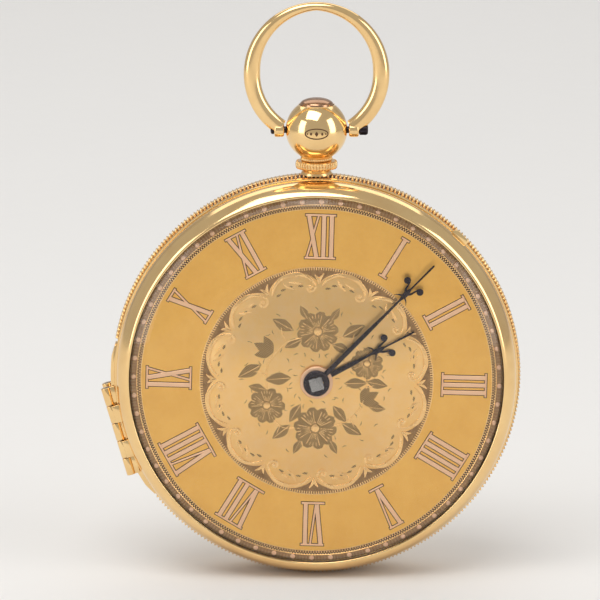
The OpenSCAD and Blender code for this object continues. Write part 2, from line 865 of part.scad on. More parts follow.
module setup_click() {
    color(STEEL) upright() at(barrel_at + [3.6, 0]) {
        plate([-1.75, -1.4]) union() {
            circle(r = 0.7);
            polygon([[0.2, -0.4], [-1.35, 0.5], [-1.2, 0.75], [0.2, 0.5]]);
        }
    }
}

module mainspring() {
    color(STEEL) upright() at(barrel_at) plate([barrel_z[0] + 0.4, barrel_z[1] - 0.4]) {
        polygon(spiral_band(1.2, 5.9, 9, 0.25, 216));
    }
}

// Chain: its turns on the barrel and on the fusee, and the straight run between them
module fusee_chain() {
    barrel_wrap = barrel_r + 0.06;
    fusee_wrap = fusee_ridge(chain_z[1]) + 0.08;
    run = fusee_at - barrel_at;
    lean = acos((barrel_wrap - fusee_wrap) / norm(run));
    side = atan2(run[1], run[0]) + lean;
    color(STEEL) upright() plate(chain_z) {
        difference() {
            union() {
                translate(barrel_at) circle(r = barrel_wrap + chain_thick);
                translate(fusee_at) circle(r = fusee_wrap + chain_thick);
                stroke(
                    barrel_at + polar(barrel_wrap + chain_thick / 2, side),
                    fusee_at + polar(fusee_wrap + chain_thick / 2, side),
                    chain_thick
                );
            }
            translate(barrel_at) circle(r = barrel_wrap);
            translate(fusee_at) circle(r = fusee_wrap);
        }
    }
}

// ---- Train ----

module barrel() {
    wall = 0.35;
    color(GILT) upright() at(barrel_at) difference() {
        slab(barrel_r, barrel_z);
        slab(barrel_r - wall, [barrel_z[0] + wall, barrel_z[1] - wall]);
        slab(0.86, [-6, -2]);
    }
}

// Radius of the fusee's ridges at a height
function fusee_ridge(z) = fusee_r[0] + (fusee_r[1] - fusee_r[0]) * (z - fusee_z[0]) / (fusee_z[1] - fusee_z[0]);

module fusee() {
    pitch = (fusee_z[1] - fusee_z[0]) / fusee_turns;
    groove = 0.3;
    color(GILT) upright() at(fusee_at) {
        rotate_extrude() polygon(concat(
            [[0, fusee_z[0]]],
            [
                for (i = [0 : fusee_turns - 1])
                    let (z = fusee_z[0] + i * pitch, r = fusee_ridge(z))
                        for (p = [[r, z], [r, z + 0.2 * pitch], [r - groove, z + 0.35 * pitch], [r - groove, z + 0.9 * pitch]])
                            p
            ],
            [[fusee_r[1], fusee_z[1]], [0, fusee_z[1]]]
        ));
        slab(0.9, [-7, fusee_z[0] + EPS]);
        slab(0.5, [fusee_z[1] - EPS, -2]);
        rotate([0, 0, 35]) plate([-9.4, -7 + EPS]) square(winding_square, center = true);
    }
}

module great_wheel() {
    color(GILT) upright() at(fusee_at) plate([-3.35, -2.98]) {
        crossed_wheel(great_teeth, great_m, fusee_dir + 180, 3.2, 0.5, 6, 0.9);
    }
}

module centre_arbor() {
    color(STEEL) upright() {
        plate([-3.5, -2.9]) polygon(teeth_outline(centre_leaves, great_m, fusee_dir + 180 / centre_leaves));
        slab(0.5, [-5.9, -3.5 + EPS]);
        slab(0.7, [-2.9 - EPS, -1.75]);
        slab(0.4, [-1.75 - EPS, square_top - 0.35]);
        slab(0.36, [-6.85, -5.9 + EPS]);
    }
}

module centre_wheel() {
    color(GILT) upright() plate([-5.75, -5.5]) {
        crossed_wheel(centre_teeth, centre_m, third_dir, 1.4, 0.5, 5, 0.6);
    }
}

// Arbor with a leaved pinion and a pivot at each end
module pinion_arbor(size, phase, pinion_z, core) {
    plate(pinion_z) polygon(teeth_outline(leaves, size, phase));
    slab(core, [-5.9, -2.9]);
    slab(pivot_r, [-6.75, -5.9 + EPS]);
    slab(pivot_r, [-2.9 - EPS, -1.9]);
}

module third_arbor() {
    color(STEEL) upright() at(third_at) {
        pinion_arbor(centre_m, third_dir + 180 + 180 / leaves, [-5.8, -5.4], 0.35);
    }
}

module third_wheel() {
    color(GILT) upright() at(third_at) plate([-4.65, -4.4]) {
        crossed_wheel(third_teeth, third_m, fourth_dir, 1.1, 0.35, 4, 0.5);
    }
}

module fourth_arbor() {
    color(STEEL) upright() at(fourth_at) {
        pinion_arbor(third_m, fourth_dir + 180 + 180 / leaves, [-4.75, -4.3], 0.3);
    }
}

module fourth_wheel() {
    color(GILT) upright() at(fourth_at) plate([-3.95, -3.7]) {
        crossed_wheel(fourth_teeth, fourth_m, escape_dir, 1, 0.3, 4, 0.45);
    }
}

module escape_arbor() {
    color(STEEL) upright() at(escape_at) {
        pinion_arbor(fourth_m, escape_dir + 180 + 180 / leaves, [-4.05, -3.6], 0.25);
    }
}

module escape_wheel() {
    color(GILT) upright() at(escape_at) plate([-5.05, -4.85]) difference() {
        polygon([
            for (i = [0 : escape_teeth - 1])
                for (p = [[2.45, 0], [escape_r, 0.42], [escape_r, 0.5], [2.45, 0.55]])
                    polar(p[0], (i + p[1]) * 360 / escape_teeth)
        ]);
        difference() {
            circle(r = 2.05);
            circle(r = 0.7);
            for (i = [0 : 3]) {
                rotate(45 + 90 * i) translate([0, -0.2]) square([2.5, 0.4]);
            }
        }
        circle(r = 0.25);
    }
}

// Lever with its pallet arms, which reach either side of the escape wheel, and its fork
module lever() {
    to_wheel = lever_dir + 180;
    fork_len = 4.6 - 0.95;
    color(STEEL) upright() at(lever_at) {
        difference() {
            plate([-5.38, -5.2]) union() {
                circle(r = 0.6);
                rotate(balance_dir) polygon([
                    [0, -0.35], [fork_len - 0.8, -0.18], [fork_len - 0.5, -0.5], [fork_len, -0.42], [fork_len - 0.3, -0.12],
                    [fork_len - 0.3, 0.12], [fork_len, 0.42], [fork_len - 0.5, 0.5], [fork_len - 0.8, 0.18], [0, 0.35]
                ]);
                for (s = [-1, 1]) {
                    rotate(to_wheel) stroke([0, 0], polar(2.35, s * 57), 0.5);
                }
            }
            slab(0.2, [-6, -4]);
        }
        slab(0.2, [-6.25, -2.45]);
        slab(fine_pivot_r, [-6.75, -6.25 + EPS]);
        slab(fine_pivot_r, [-2.45 - EPS, -1.9]);
    }
}

module pallet_stones() {
    to_wheel = lever_dir + 180;
    color(RUBY) upright() at(lever_at) for (s = [-1, 1]) {
        rotate([0, 0, to_wheel]) translate([polar(2.15, s * 57)[0], polar(2.15, s * 57)[1], -5.2]) {
            rotate([0, 0, s * 30]) translate([-0.15, -0.15, 0]) cube([0.3, 0.3, 0.4]);
        }
    }
}

module balance_wheel() {
    color(DIAL_GOLD) upright() at(balance_at) plate(rim_z) difference() {
        circle(r = balance_r - 0.3);
        difference() {
            circle(r = balance_r - 1);
            circle(r = 0.9);
            for (i = [0 : 2]) {
                rotate(120 * i) translate([0, -0.35]) square([balance_r, 0.7]);
            }
        }
        circle(r = 0.4);
    }
}

module balance_screws() {
    count = 14;
    z = (rim_z[0] + rim_z[1]) / 2;
    color(DIAL_GOLD) upright() at(balance_at) for (i = [0 : count - 1]) {
        rotate([0, 0, (i + 0.5) * 360 / count]) translate([0, 0, z]) rotate([0, 90, 0]) {
            slab(0.25, [balance_r - 0.32, balance_r]);
        }
    }
}

module balance_staff() {
    color(STEEL) upright() at(balance_at) {
        slab(0.4, [-7.7, -5.6]);
        slab(0.25, [-8.3, -7.7 + EPS]);
        slab(0.25, [-5.6 - EPS, -5]);
        slab(0.42, [-7.95, -7.7]);
        slab(fine_pivot_r, [-8.8, -8.3 + EPS]);
        slab(fine_pivot_r, [-5 - EPS, -4.65]);
    }
}

// Roller on the staff, with its upright impulse pin
module roller() {
    color(STEEL) upright() at(balance_at) difference() {
        union() {
            slab(0.85, [-5.6, -5.42]);
            rotate([0, 0, balance_dir + 180]) translate([0.6, 0, 0]) slab(0.12, [-5.45, -5.15]);
        }
        slab(0.25, [-6, -5]);
    }
}

case_band();
pendant_ball();
pendant_collar();
bow_screws();
hinge_pins();
dial();
minute_track();
minute_studs();
hour_numerals();
dial_medallion();
dial_flowers();
pillar_plate();
pillars();
top_plate();
plate_screws();
dog_screws();
jewels();
potence();
balance_cock();
regulator();
hairspring_stud();
hairspring();
barrel_arbor();
setup_ratchet();
setup_click();
mainspring();
fusee_chain();
barrel();
fusee();
great_wheel();
centre_arbor();
centre_wheel();
cannon_pinion();
minute_hand();
minute_wheel();
hour_wheel();
hour_hand();
third_wheel();
third_arbor();
fourth_wheel();
fourth_arbor();
escape_wheel();
escape_arbor();
lever();
pallet_stones();
balance_wheel();
balance_screws();
balance_staff();
roller();
bezel();
crystal();
back_cover();
cuvette();
bow();
push_piece();
push_spring();
catch_spring();
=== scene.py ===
"""Open face pocket watch: reeded gold case, frosted gold dial with applied numerals, key wound movement."""

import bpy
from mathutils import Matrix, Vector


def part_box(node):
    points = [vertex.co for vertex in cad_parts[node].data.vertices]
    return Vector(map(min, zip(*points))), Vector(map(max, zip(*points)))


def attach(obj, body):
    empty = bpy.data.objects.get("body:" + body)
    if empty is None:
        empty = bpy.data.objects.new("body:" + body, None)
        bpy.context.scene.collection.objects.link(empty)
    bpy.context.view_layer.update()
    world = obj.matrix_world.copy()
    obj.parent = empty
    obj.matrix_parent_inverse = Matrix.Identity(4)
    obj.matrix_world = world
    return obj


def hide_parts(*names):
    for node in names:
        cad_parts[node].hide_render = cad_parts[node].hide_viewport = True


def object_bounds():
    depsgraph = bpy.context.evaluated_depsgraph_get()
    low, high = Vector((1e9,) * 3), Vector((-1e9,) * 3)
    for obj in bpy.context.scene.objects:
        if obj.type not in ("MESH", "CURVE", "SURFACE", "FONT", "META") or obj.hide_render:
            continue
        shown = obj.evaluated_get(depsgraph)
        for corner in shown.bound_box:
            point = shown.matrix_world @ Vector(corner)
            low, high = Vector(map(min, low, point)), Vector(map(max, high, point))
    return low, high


bl_info = {
    "name": "Open face pocket watch",
    "version": (1, 0, 0),
    "blender": (4, 5, 0),
    "location": "3D View > Sidebar > Pocket watch",
    "description": "Models and finishes an open face pocket watch round its mechanical frame",
    "category": "Object",
}

import math

import bmesh
import bpy
from mathutils import Vector

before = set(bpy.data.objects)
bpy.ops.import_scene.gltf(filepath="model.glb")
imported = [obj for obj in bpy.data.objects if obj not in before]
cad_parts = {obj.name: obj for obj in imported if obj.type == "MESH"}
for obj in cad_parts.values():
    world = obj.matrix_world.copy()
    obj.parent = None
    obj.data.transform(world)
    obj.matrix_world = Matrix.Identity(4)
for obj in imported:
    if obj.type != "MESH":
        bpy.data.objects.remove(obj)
CAD_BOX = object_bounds()

MM = 0.001
MERGE = 2e-6
PENDANT_Y = (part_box("pendant_ball")[0].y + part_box("pendant_ball")[1].y) / 2
BALL_Z = (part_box("bow_screws")[0].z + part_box("bow_screws")[1].z) / 2
CASE_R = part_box("case_band")[1].x
FLOOR_Z = CAD_BOX[0][2]
HINGE_R = 23.2
KNUCKLE_R = 0.55
KNUCKLE_ROOM = 0.65
JOINT_LENGTH = 10.5
JOINT_TURN = 16
FRONT_JOINT_Z = -2.55
BACK_JOINT_Z = -5.0
BAND_BACK = -5.3
BAND_FRONT = -2.2
REEDS_Z = (-4.35, -2.75)
LIP_R = 22.7


# ---- Shaping tools ----

def mm(point):
    """A place given in millimetres, as Blender's metres."""
    return Vector(point) * MM


def polar(radius, angle):
    turn = math.radians(angle)
    return (radius * math.cos(turn), radius * math.sin(turn))


def moved(outline, place, turn=0, size=1):
    """An outline turned by an angle in degrees, scaled, and moved to a place."""
    c = math.cos(math.radians(turn)) * size
    s = math.sin(math.radians(turn)) * size
    return [(place[0] + c * x - s * y, place[1] + s * x + c * y) for x, y in outline]


def mirrored(outline):
    return [(-x, y) for x, y in reversed(outline)]


def smooth(points, steps=5):
    """A smooth open line through the given points."""
    line = []
    last = len(points) - 1
    for i in range(last):
        a, b, c, d = (points[max(i - 1, 0)], points[i], points[i + 1], points[min(i + 2, last)])
        for k in range(steps):
            t = k / steps
            line.append(tuple(
                0.5 * (2 * q + (r - p) * t + (2 * p - 5 * q + 4 * r - s) * t * t
                       + (3 * q - p - 3 * r + s) * t ** 3)
                for p, q, r, s in zip(a, b, c, d)))
    line.append(tuple(points[last]))
    return line


def ribbon(middle, widths, steps=5):
    """Outline of a strip whose middle line and width are given at a few points."""
    line = smooth([(x, y, w) for (x, y), w in zip(middle, widths)], steps)
    left, right = [], []
    for i, (x, y, w) in enumerate(line):
        before, after = line[max(i - 1, 0)], line[min(i + 1, len(line) - 1)]
        along = Vector((after[0] - before[0], after[1] - before[1])).normalized()
        left.append((x - along.y * w / 2, y + along.x * w / 2))
        right.append((x + along.y * w / 2, y - along.x * w / 2))
    return left + right[::-1]


def disc(radius, count=32):
    return [polar(radius, 360 * i / count) for i in range(count)]


def clear_selection():
    bpy.ops.object.select_all(action="DESELECT")


def take(piece):
    clear_selection()
    piece.select_set(True)
    bpy.context.view_layer.objects.active = piece


def edit(piece, everything=True):
    take(piece)
    bpy.ops.object.mode_set(mode="EDIT")
    bpy.ops.mesh.select_mode(type="VERT")
    bpy.ops.mesh.select_all(action="SELECT" if everything else "DESELECT")


def leave_edit():
    bpy.ops.object.mode_set(mode="OBJECT")


def pick(piece, kind, test):
    """Selects the verts, edges or faces of the piece being edited that pass the test, and nothing else."""
    bpy.ops.mesh.select_mode(type={"verts": "VERT", "edges": "EDGE", "faces": "FACE"}[kind])
    bpy.ops.mesh.select_all(action="DESELECT")
    mesh = bmesh.from_edit_mesh(piece.data)
    for part in getattr(mesh, kind):
        if test(part):
            part.select_set(True)
    if kind == "verts":
        mesh.select_flush(True)
    bmesh.update_edit_mesh(piece.data)


def named(name):
    piece = bpy.context.object
    piece.name = name
    piece.data.name = name
    return piece


def draw(name, points, closed=False, fill=False):
    """A line through points in millimetres, drawn by extruding one vertex, and closed or filled on request."""
    clear_selection()
    bpy.ops.mesh.primitive_plane_add(size=MM, location=mm(points[0]))
    piece = named(name)
    bpy.ops.object.transform_apply(location=True)
    edit(piece)
    bpy.ops.mesh.merge(type="CENTER")
    for before, after in zip(points, points[1:]):
        bpy.ops.mesh.extrude_region_move(TRANSFORM_OT_translate={"value": mm(after) - mm(before)})
    if closed:
        last = len(points) - 1
        pick(piece, "verts", lambda v: v.index in (0, last))
        bpy.ops.mesh.edge_face_add()
    if fill:
        bpy.ops.mesh.select_all(action="SELECT")
        bpy.ops.mesh.edge_face_add()
    leave_edit()
    return piece


def close_up(piece):
    """Merges what meets, drops what is left over, and turns every face outwards."""
    edit(piece)
    bpy.ops.mesh.remove_doubles(threshold=MERGE)
    bpy.ops.mesh.dissolve_degenerate(threshold=MERGE / 4)
    bpy.ops.mesh.delete_loose(use_verts=True, use_edges=True, use_faces=False)
    bpy.ops.mesh.select_all(action="SELECT")
    bpy.ops.mesh.normals_make_consistent(inside=False)
    leave_edit()
    return piece


def lathe(name, profile, steps=192, closed=True):
    """Spins a section of (radius, height) points about the z axis."""
    piece = draw(name, [(r, 0, z) for r, z in profile], closed)
    edit(piece)
    bpy.ops.mesh.spin(steps=steps, angle=math.tau, center=(0, 0, 0), axis=(0, 0, 1))
    leave_edit()
    return close_up(piece)


def raised(name, outline, low, high, edge=0.0, segments=2):
    """A flat piece of an outline between two heights, with its upper edge rounded."""
    piece = draw(name, [(x, y, low) for x, y in outline], closed=True, fill=True)
    edit(piece)
    bpy.ops.mesh.extrude_region_move(TRANSFORM_OT_translate={"value": (0, 0, (high - low) * MM)})
    if edge:
        bpy.ops.mesh.bevel(offset=edge * MM, segments=segments, affect="EDGES", clamp_overlap=True)
    bpy.ops.mesh.select_all(action="SELECT")
    bpy.ops.mesh.normals_make_consistent(inside=False)
    leave_edit()
    return piece


def carved(name, outline, low, high, crown):
    """A flat piece whose top rises to a point over its middle, as a leaf or petal does."""
    piece = raised(name, outline, low, high)
    edit(piece)
    pick(piece, "faces", lambda f: f.normal.z > 0.9)
    bpy.ops.mesh.inset(thickness=0.07 * MM, depth=0.02 * MM)
    bpy.ops.mesh.poke(offset=crown * MM)
    leave_edit()
    return piece


def join(name, pieces):
    take(pieces[0])
    for piece in pieces[1:]:
        piece.select_set(True)
    bpy.ops.object.join()
    return named(name)


def settle(piece, place=(0, 0, 0), turn=(0, 0, 0)):
    """Moves and turns a piece, then makes that its shape."""
    take(piece)
    piece.location = mm(place)
    piece.rotation_euler = [math.radians(a) for a in turn]
    bpy.ops.object.transform_apply(location=True, rotation=True, scale=True)
    return piece


def ring_of(piece, count, step):
    """Repeats a piece round the z axis, one every step degrees."""
    clear_selection()
    bpy.ops.object.empty_add()
    guide = bpy.context.object
    guide.rotation_euler.z = math.radians(step)
    bpy.context.view_layer.update()
    repeat = piece.modifiers.new("repeat", "ARRAY")
    repeat.count = count
    repeat.use_relative_offset = False
    repeat.use_object_offset = True
    repeat.offset_object = guide
    take(piece)
    bpy.ops.object.modifier_apply(modifier=repeat.name)
    bpy.data.objects.remove(guide)
    return piece


def finish(piece, material, body="case", replaces=(), upright=True, sharp=35):
    """Stands a piece in the watch, shades it, and gives it its finish and its body."""
    if upright:
        settle(piece, turn=(90, 0, 0))
    take(piece)
    bpy.ops.object.shade_smooth_by_angle(angle=math.radians(sharp))
    piece.data.materials.clear()
    piece.data.materials.append(bpy.data.materials[material])
    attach(piece, body)
    if replaces:
        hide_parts(*replaces)
    return piece


def rod(name, radius, tall):
    clear_selection()
    bpy.ops.mesh.primitive_cylinder_add(vertices=48, radius=radius * MM, depth=tall * MM)
    return named(name)


def bead(name, radius, place, stretch, segments=10, rings=8, turn=0):
    """A small ball at a place in millimetres, turned about x and stretched."""
    clear_selection()
    bpy.ops.mesh.primitive_uv_sphere_add(segments=segments, ring_count=rings, radius=radius * MM,
                                         location=mm(place), rotation=(math.radians(turn), 0, 0))
    piece = named(name)
    piece.scale = stretch
    bpy.ops.object.transform_apply(location=True, rotation=True, scale=True)
    return piece


def cut(piece, tool):
    """Takes the tool's shape away from a piece, and then removes the tool."""
    change = piece.modifiers.new("cut", "BOOLEAN")
    change.operation = "DIFFERENCE"
    change.solver = "EXACT"
    change.object = tool
    take(piece)
    bpy.ops.object.modifier_apply(modifier=change.name)
    bpy.data.objects.remove(tool)
    return piece


def clear_joints(piece):
    """Cuts room for the hinge barrels of both case joints out of a piece."""
    for z in (FRONT_JOINT_Z, BACK_JOINT_Z):
        room = settle(rod("joint_room", KNUCKLE_ROOM, JOINT_LENGTH), place=(-HINGE_R, 0, z), turn=(-90, 0, 0))
        cut(piece, settle(room, turn=(0, 0, JOINT_TURN)))
    return close_up(piece)


def joint_knuckles(name, z, spans, root):
    """Hinge barrels along a case joint, each with a root that runs in to its own piece."""
    made = []
    for low, high in spans:
        clear_selection()
        bpy.ops.mesh.primitive_cylinder_add(vertices=40, radius=KNUCKLE_R * MM, depth=(high - low) * MM)
        barrel = named(name)
        edit(barrel)
        pick(barrel, "faces", lambda f: abs(f.normal.z) > 0.9)
        bpy.ops.mesh.inset(thickness=0.31 * MM)
        bpy.ops.mesh.extrude_region_move(TRANSFORM_OT_translate={"value": (0, 0, 0)})
        pick(barrel, "edges", lambda e: all(abs(math.hypot(v.co.x, v.co.y) - KNUCKLE_R * MM) < MERGE for v in e.verts)
             and abs(e.verts[0].co.z - e.verts[1].co.z) < MERGE)
        bpy.ops.mesh.bevel(offset=0.06 * MM, segments=2, affect="EDGES")
        leave_edit()
        made.append(settle(barrel, place=(-HINGE_R, (low + high) / 2, z), turn=(-90, 0, 0)))
        x0, x1, z0, z1 = root
        foot = raised(name, [(-HINGE_R + x0, low), (-HINGE_R + x1, low),
                             (-HINGE_R + x1, high), (-HINGE_R + x0, high)], z + z0, z + z1, 0.04)
        made.append(foot)
    return settle(join(name, made), turn=(0, 0, JOINT_TURN))


# ---- Finishes ----

def effect(name, sockets_in, sockets_out):
    """A new node group with the given sockets; returns it with its input and output nodes."""
    tree = bpy.data.node_groups.new(name, "ShaderNodeTree")
    for label, kind, value in sockets_in:
        socket = tree.interface.new_socket(name=label, in_out="INPUT", socket_type=kind)
        socket.default_value = value
    for label, kind in sockets_out:
        tree.interface.new_socket(name=label, in_out="OUTPUT", socket_type=kind)
    return tree, tree.nodes.new("NodeGroupInput"), tree.nodes.new("NodeGroupOutput")


def noise(tree, coordinates, scale, detail, roughness=0.5):
    node = tree.nodes.new("ShaderNodeTexNoise")
    node.inputs["Detail"].default_value = detail
    node.inputs["Roughness"].default_value = roughness
    tree.links.new(coordinates, node.inputs["Vector"])
    if isinstance(scale, (int, float)):
        node.inputs["Scale"].default_value = scale
    else:
        tree.links.new(scale, node.inputs["Scale"])
    return node.outputs["Fac"]


def spread(tree, value, low, high, to_low=0.0, to_high=1.0):
    node = tree.nodes.new("ShaderNodeMapRange")
    for socket, source in (("Value", value), ("From Min", low), ("From Max", high),
                           ("To Min", to_low), ("To Max", to_high)):
        if isinstance(source, (int, float)):
            node.inputs[socket].default_value = source
        else:
            tree.links.new(source, node.inputs[socket])
    return node.outputs["Result"]


def sum_of(tree, a, b, operation="ADD"):
    node = tree.nodes.new("ShaderNodeMath")
    node.operation = operation
    for socket, source in zip(node.inputs, (a, b)):
        if isinstance(source, (int, float)):
            socket.default_value = source
        else:
            tree.links.new(source, socket)
    return node.outputs[0]


def mixed(tree, mask, a, b):
    node = tree.nodes.new("ShaderNodeMix")
    node.data_type = "RGBA"
    tree.links.new(mask, node.inputs["Factor"])
    tree.links.new(a, node.inputs["A"])
    tree.links.new(b, node.inputs["B"])
    return node.outputs["Result"]


def build_effects():
    """The node groups that the finishes share."""
    tree, given, out = effect(
        "patina",
        [("Colour", "NodeSocketColor", (0.8, 0.6, 0.3, 1)), ("Tarnish", "NodeSocketColor", (0.4, 0.2, 0.1, 1)),
         ("Amount", "NodeSocketFloat", 0.3), ("Patch scale", "NodeSocketFloat", 120)],
        [("Colour", "NodeSocketColor")])
    place = tree.nodes.new("ShaderNodeTexCoord").outputs["Object"]
    broad = noise(tree, place, given.outputs["Patch scale"], 4, 0.6)
    fine = noise(tree, place, sum_of(tree, given.outputs["Patch scale"], 7.0, "MULTIPLY"), 3, 0.6)
    blend = sum_of(tree, sum_of(tree, broad, 0.7, "MULTIPLY"), sum_of(tree, fine, 0.3, "MULTIPLY"))
    mask = sum_of(tree, spread(tree, blend, 0.36, 0.66), given.outputs["Amount"], "MULTIPLY")
    tree.links.new(mixed(tree, mask, given.outputs["Colour"], given.outputs["Tarnish"]), out.inputs["Colour"])

    tree, given, out = effect(
        "fine grain",
        [("Grain scale", "NodeSocketFloat", 6000), ("Smoothest", "NodeSocketFloat", 0.2),
         ("Roughest", "NodeSocketFloat", 0.4)],
        [("Height", "NodeSocketFloat"), ("Roughness", "NodeSocketFloat")])
    place = tree.nodes.new("ShaderNodeTexCoord").outputs["Object"]
    grain = noise(tree, place, given.outputs["Grain scale"], 2, 0.7)
    worn = noise(tree, place, sum_of(tree, given.outputs["Grain scale"], 0.08, "MULTIPLY"), 5, 0.7)
    tree.links.new(grain, out.inputs["Height"])
    tree.links.new(spread(tree, worn, 0.35, 0.65, given.outputs["Smoothest"], given.outputs["Roughest"]),
                   out.inputs["Roughness"])

    tree, given, out = effect(
        "hatching",
        [("Lines scale", "NodeSocketFloat", 3000), ("Turn", "NodeSocketFloat", 0.6),
         ("Waver", "NodeSocketFloat", 3.0)],
        [("Mask", "NodeSocketFloat")])
    place = tree.nodes.new("ShaderNodeTexCoord").outputs["Object"]
    turned = tree.nodes.new("ShaderNodeVectorRotate")
    turned.rotation_type = "Y_AXIS"
    tree.links.new(place, turned.inputs["Vector"])
    tree.links.new(given.outputs["Turn"], turned.inputs["Angle"])
    lines = tree.nodes.new("ShaderNodeTexWave")
    lines.inputs["Detail"].default_value = 1.5
    lines.inputs["Detail Scale"].default_value = 0.6
    tree.links.new(turned.outputs["Vector"], lines.inputs["Vector"])
    tree.links.new(given.outputs["Lines scale"], lines.inputs["Scale"])
    tree.links.new(given.outputs["Waver"], lines.inputs["Distortion"])
    tree.links.new(spread(tree, lines.outputs["Fac"], 0.45, 0.85), out.inputs["Mask"])

    tree, given, out = effect(
        "radial lines",
        [("Count", "NodeSocketFloat", 720)],
        [("Mask", "NodeSocketFloat")])
    place = tree.nodes.new("ShaderNodeTexCoord").outputs["Object"]
    apart = tree.nodes.new("ShaderNodeSeparateXYZ")
    tree.links.new(place, apart.inputs["Vector"])
    angle = sum_of(tree, apart.outputs["X"], apart.outputs["Z"], "ARCTAN2")
    wave = sum_of(tree, sum_of(tree, angle, given.outputs["Count"], "MULTIPLY"), 0.0, "SINE")
    tree.links.new(spread(tree, wave, -0.6, 0.6), out.inputs["Mask"])


def placed(tree, name, **values):
    """One of the shared effects, placed in a material with its own values."""
    node = tree.nodes.new("ShaderNodeGroup")
    node.node_tree = bpy.data.node_groups[name]
    for label, value in values.items():
        node.inputs[label.replace("_", " ")].default_value = value
    return node


def colour4(rgb):
    return (*rgb[:3], 1)


def metal(name, colour, tarnish, amount, patch, smoothest, roughest, grain, bump,
          metallic=1.0, lines=None):
    """A metal with uneven tarnish, fine grain and, on request, cut lines of a second colour."""
    material = bpy.data.materials.new(name)
    material.use_nodes = True
    tree = material.node_tree
    shader = tree.nodes["Principled BSDF"]
    shader.inputs["Metallic"].default_value = metallic
    skin = placed(tree, "patina", Colour=colour4(colour), Tarnish=colour4(tarnish), Amount=amount,
                  Patch_scale=patch)
    tooth = placed(tree, "fine grain", Grain_scale=grain, Smoothest=smoothest, Roughest=roughest)
    shade = skin.outputs["Colour"]
    height = tooth.outputs["Height"]
    if lines:
        kind, values, line_colour, depth = lines
        marks = placed(tree, kind, **values)
        bright = tree.nodes.new("ShaderNodeRGB")
        bright.outputs[0].default_value = colour4(line_colour)
        shade = mixed(tree, marks.outputs["Mask"], shade, bright.outputs[0])
        height = sum_of(tree, height, sum_of(tree, marks.outputs["Mask"], depth, "MULTIPLY"))
    tree.links.new(shade, shader.inputs["Base Color"])
    tree.links.new(tooth.outputs["Roughness"], shader.inputs["Roughness"])
    relief = tree.nodes.new("ShaderNodeBump")
    relief.inputs["Strength"].default_value = bump
    relief.inputs["Distance"].default_value = 0.02 * MM
    tree.links.new(height, relief.inputs["Height"])
    tree.links.new(relief.outputs["Normal"], shader.inputs["Normal"])
    return material


def clear_material(name, colour, roughness, ior, transmission):
    """Glass or stone: clear through, with faint marks on its surface."""
    material = bpy.data.materials.new(name)
    material.use_nodes = True
    tree = material.node_tree
    shader = tree.nodes["Principled BSDF"]
    shader.inputs["Base Color"].default_value = colour4(colour)
    shader.inputs["Metallic"].default_value = 0.0
    shader.inputs["Transmission Weight"].default_value = transmission
    shader.inputs["IOR"].default_value = ior
    tooth = placed(tree, "fine grain", Grain_scale=900, Smoothest=roughness, Roughest=roughness * 2.5)
    tree.links.new(tooth.outputs["Roughness"], shader.inputs["Roughness"])
    return material


# ---- What a user may change ----

def length(name, description, millimetres):
    return bpy.props.FloatProperty(name=name, description=description, default=millimetres * MM,
                                   subtype="DISTANCE", unit="LENGTH", precision=5)


def paint(name, description, rgb):
    return bpy.props.FloatVectorProperty(name=name, description=description, default=rgb, subtype="COLOR",
                                         size=3, min=0, max=1)


class WatchCaseSettings(bpy.types.PropertyGroup):
    gold: paint("Case gold", "Colour of the polished case", (0.95, 0.67, 0.32))
    gold_shade: paint("Case tarnish", "Colour of the case where it is dull", (0.68, 0.36, 0.12))
    band_radius: length("Band radius", "Outer radius over the reeds", CASE_R / MM)
    reed_depth: length("Reed depth", "Height of each reed on the band", 0.34)
    reed_count: bpy.props.IntProperty(name="Reeds", description="Reeds in a full turn of the band",
                                      default=315, min=60, max=480)
    plain_from: bpy.props.FloatProperty(name="Plain part, start", description="Angle where the reeds stop",
                                        default=math.radians(171), subtype="ANGLE", unit="ROTATION")
    plain_to: bpy.props.FloatProperty(name="Plain part, end", description="Angle where the reeds start again",
                                      default=math.radians(217), subtype="ANGLE", unit="ROTATION")


class WatchPendantSettings(bpy.types.PropertyGroup):
    ball_radius: length("Ball radius", "Radius of the pendant ball", 3.45)
    bow_radius: length("Bow radius", "Outer radius of the bow", 8.1)
    bow_height: length("Bow height", "Height of the bow's centre over the hands", 34.15)
    bow_top: length("Bow, top", "Thickness of the bow's wire at its top", 0.95)
    bow_side: length("Bow, sides", "Thickness of the bow's wire at its sides", 1.84)
    bead_count: bpy.props.IntProperty(name="Beads", description="Beads round the collar", default=42,
                                      min=12, max=72)
    cap: paint("Push piece", "Colour of the push piece's cap", (0.50, 0.29, 0.17))


class WatchDialSettings(bpy.types.PropertyGroup):
    field: paint("Dial gold", "Colour of the frosted dial", (0.97, 0.56, 0.14))
    field_shade: paint("Dial patches", "Colour of the dial's duller patches", (0.84, 0.42, 0.085))
    centre: paint("Medallion", "Colour of the carved centre", (0.96, 0.62, 0.27))
    shaded: paint("Carving", "Colour of the hatched carving", (0.15, 0.085, 0.03))
    numerals: paint("Numerals", "Colour of the applied numerals", (1.0, 0.64, 0.39))
    track: paint("Minute ring", "Colour of the minute ring", (0.32, 0.16, 0.075))
    numeral_inner: length("Numerals, inner end", "Distance of the numerals' feet from the centre", 14.05)
    numeral_outer: length("Numerals, outer end", "Distance of the numerals' tops from the centre", 18.95)
    medallion_radius: length("Medallion radius", "Radius of the carved centre", 13.0)
    dial_turn: bpy.props.FloatProperty(name="Dial turn", description="Turn of the dial in the case, clockwise",
                                       default=math.radians(1.5), subtype="ANGLE", unit="ROTATION")


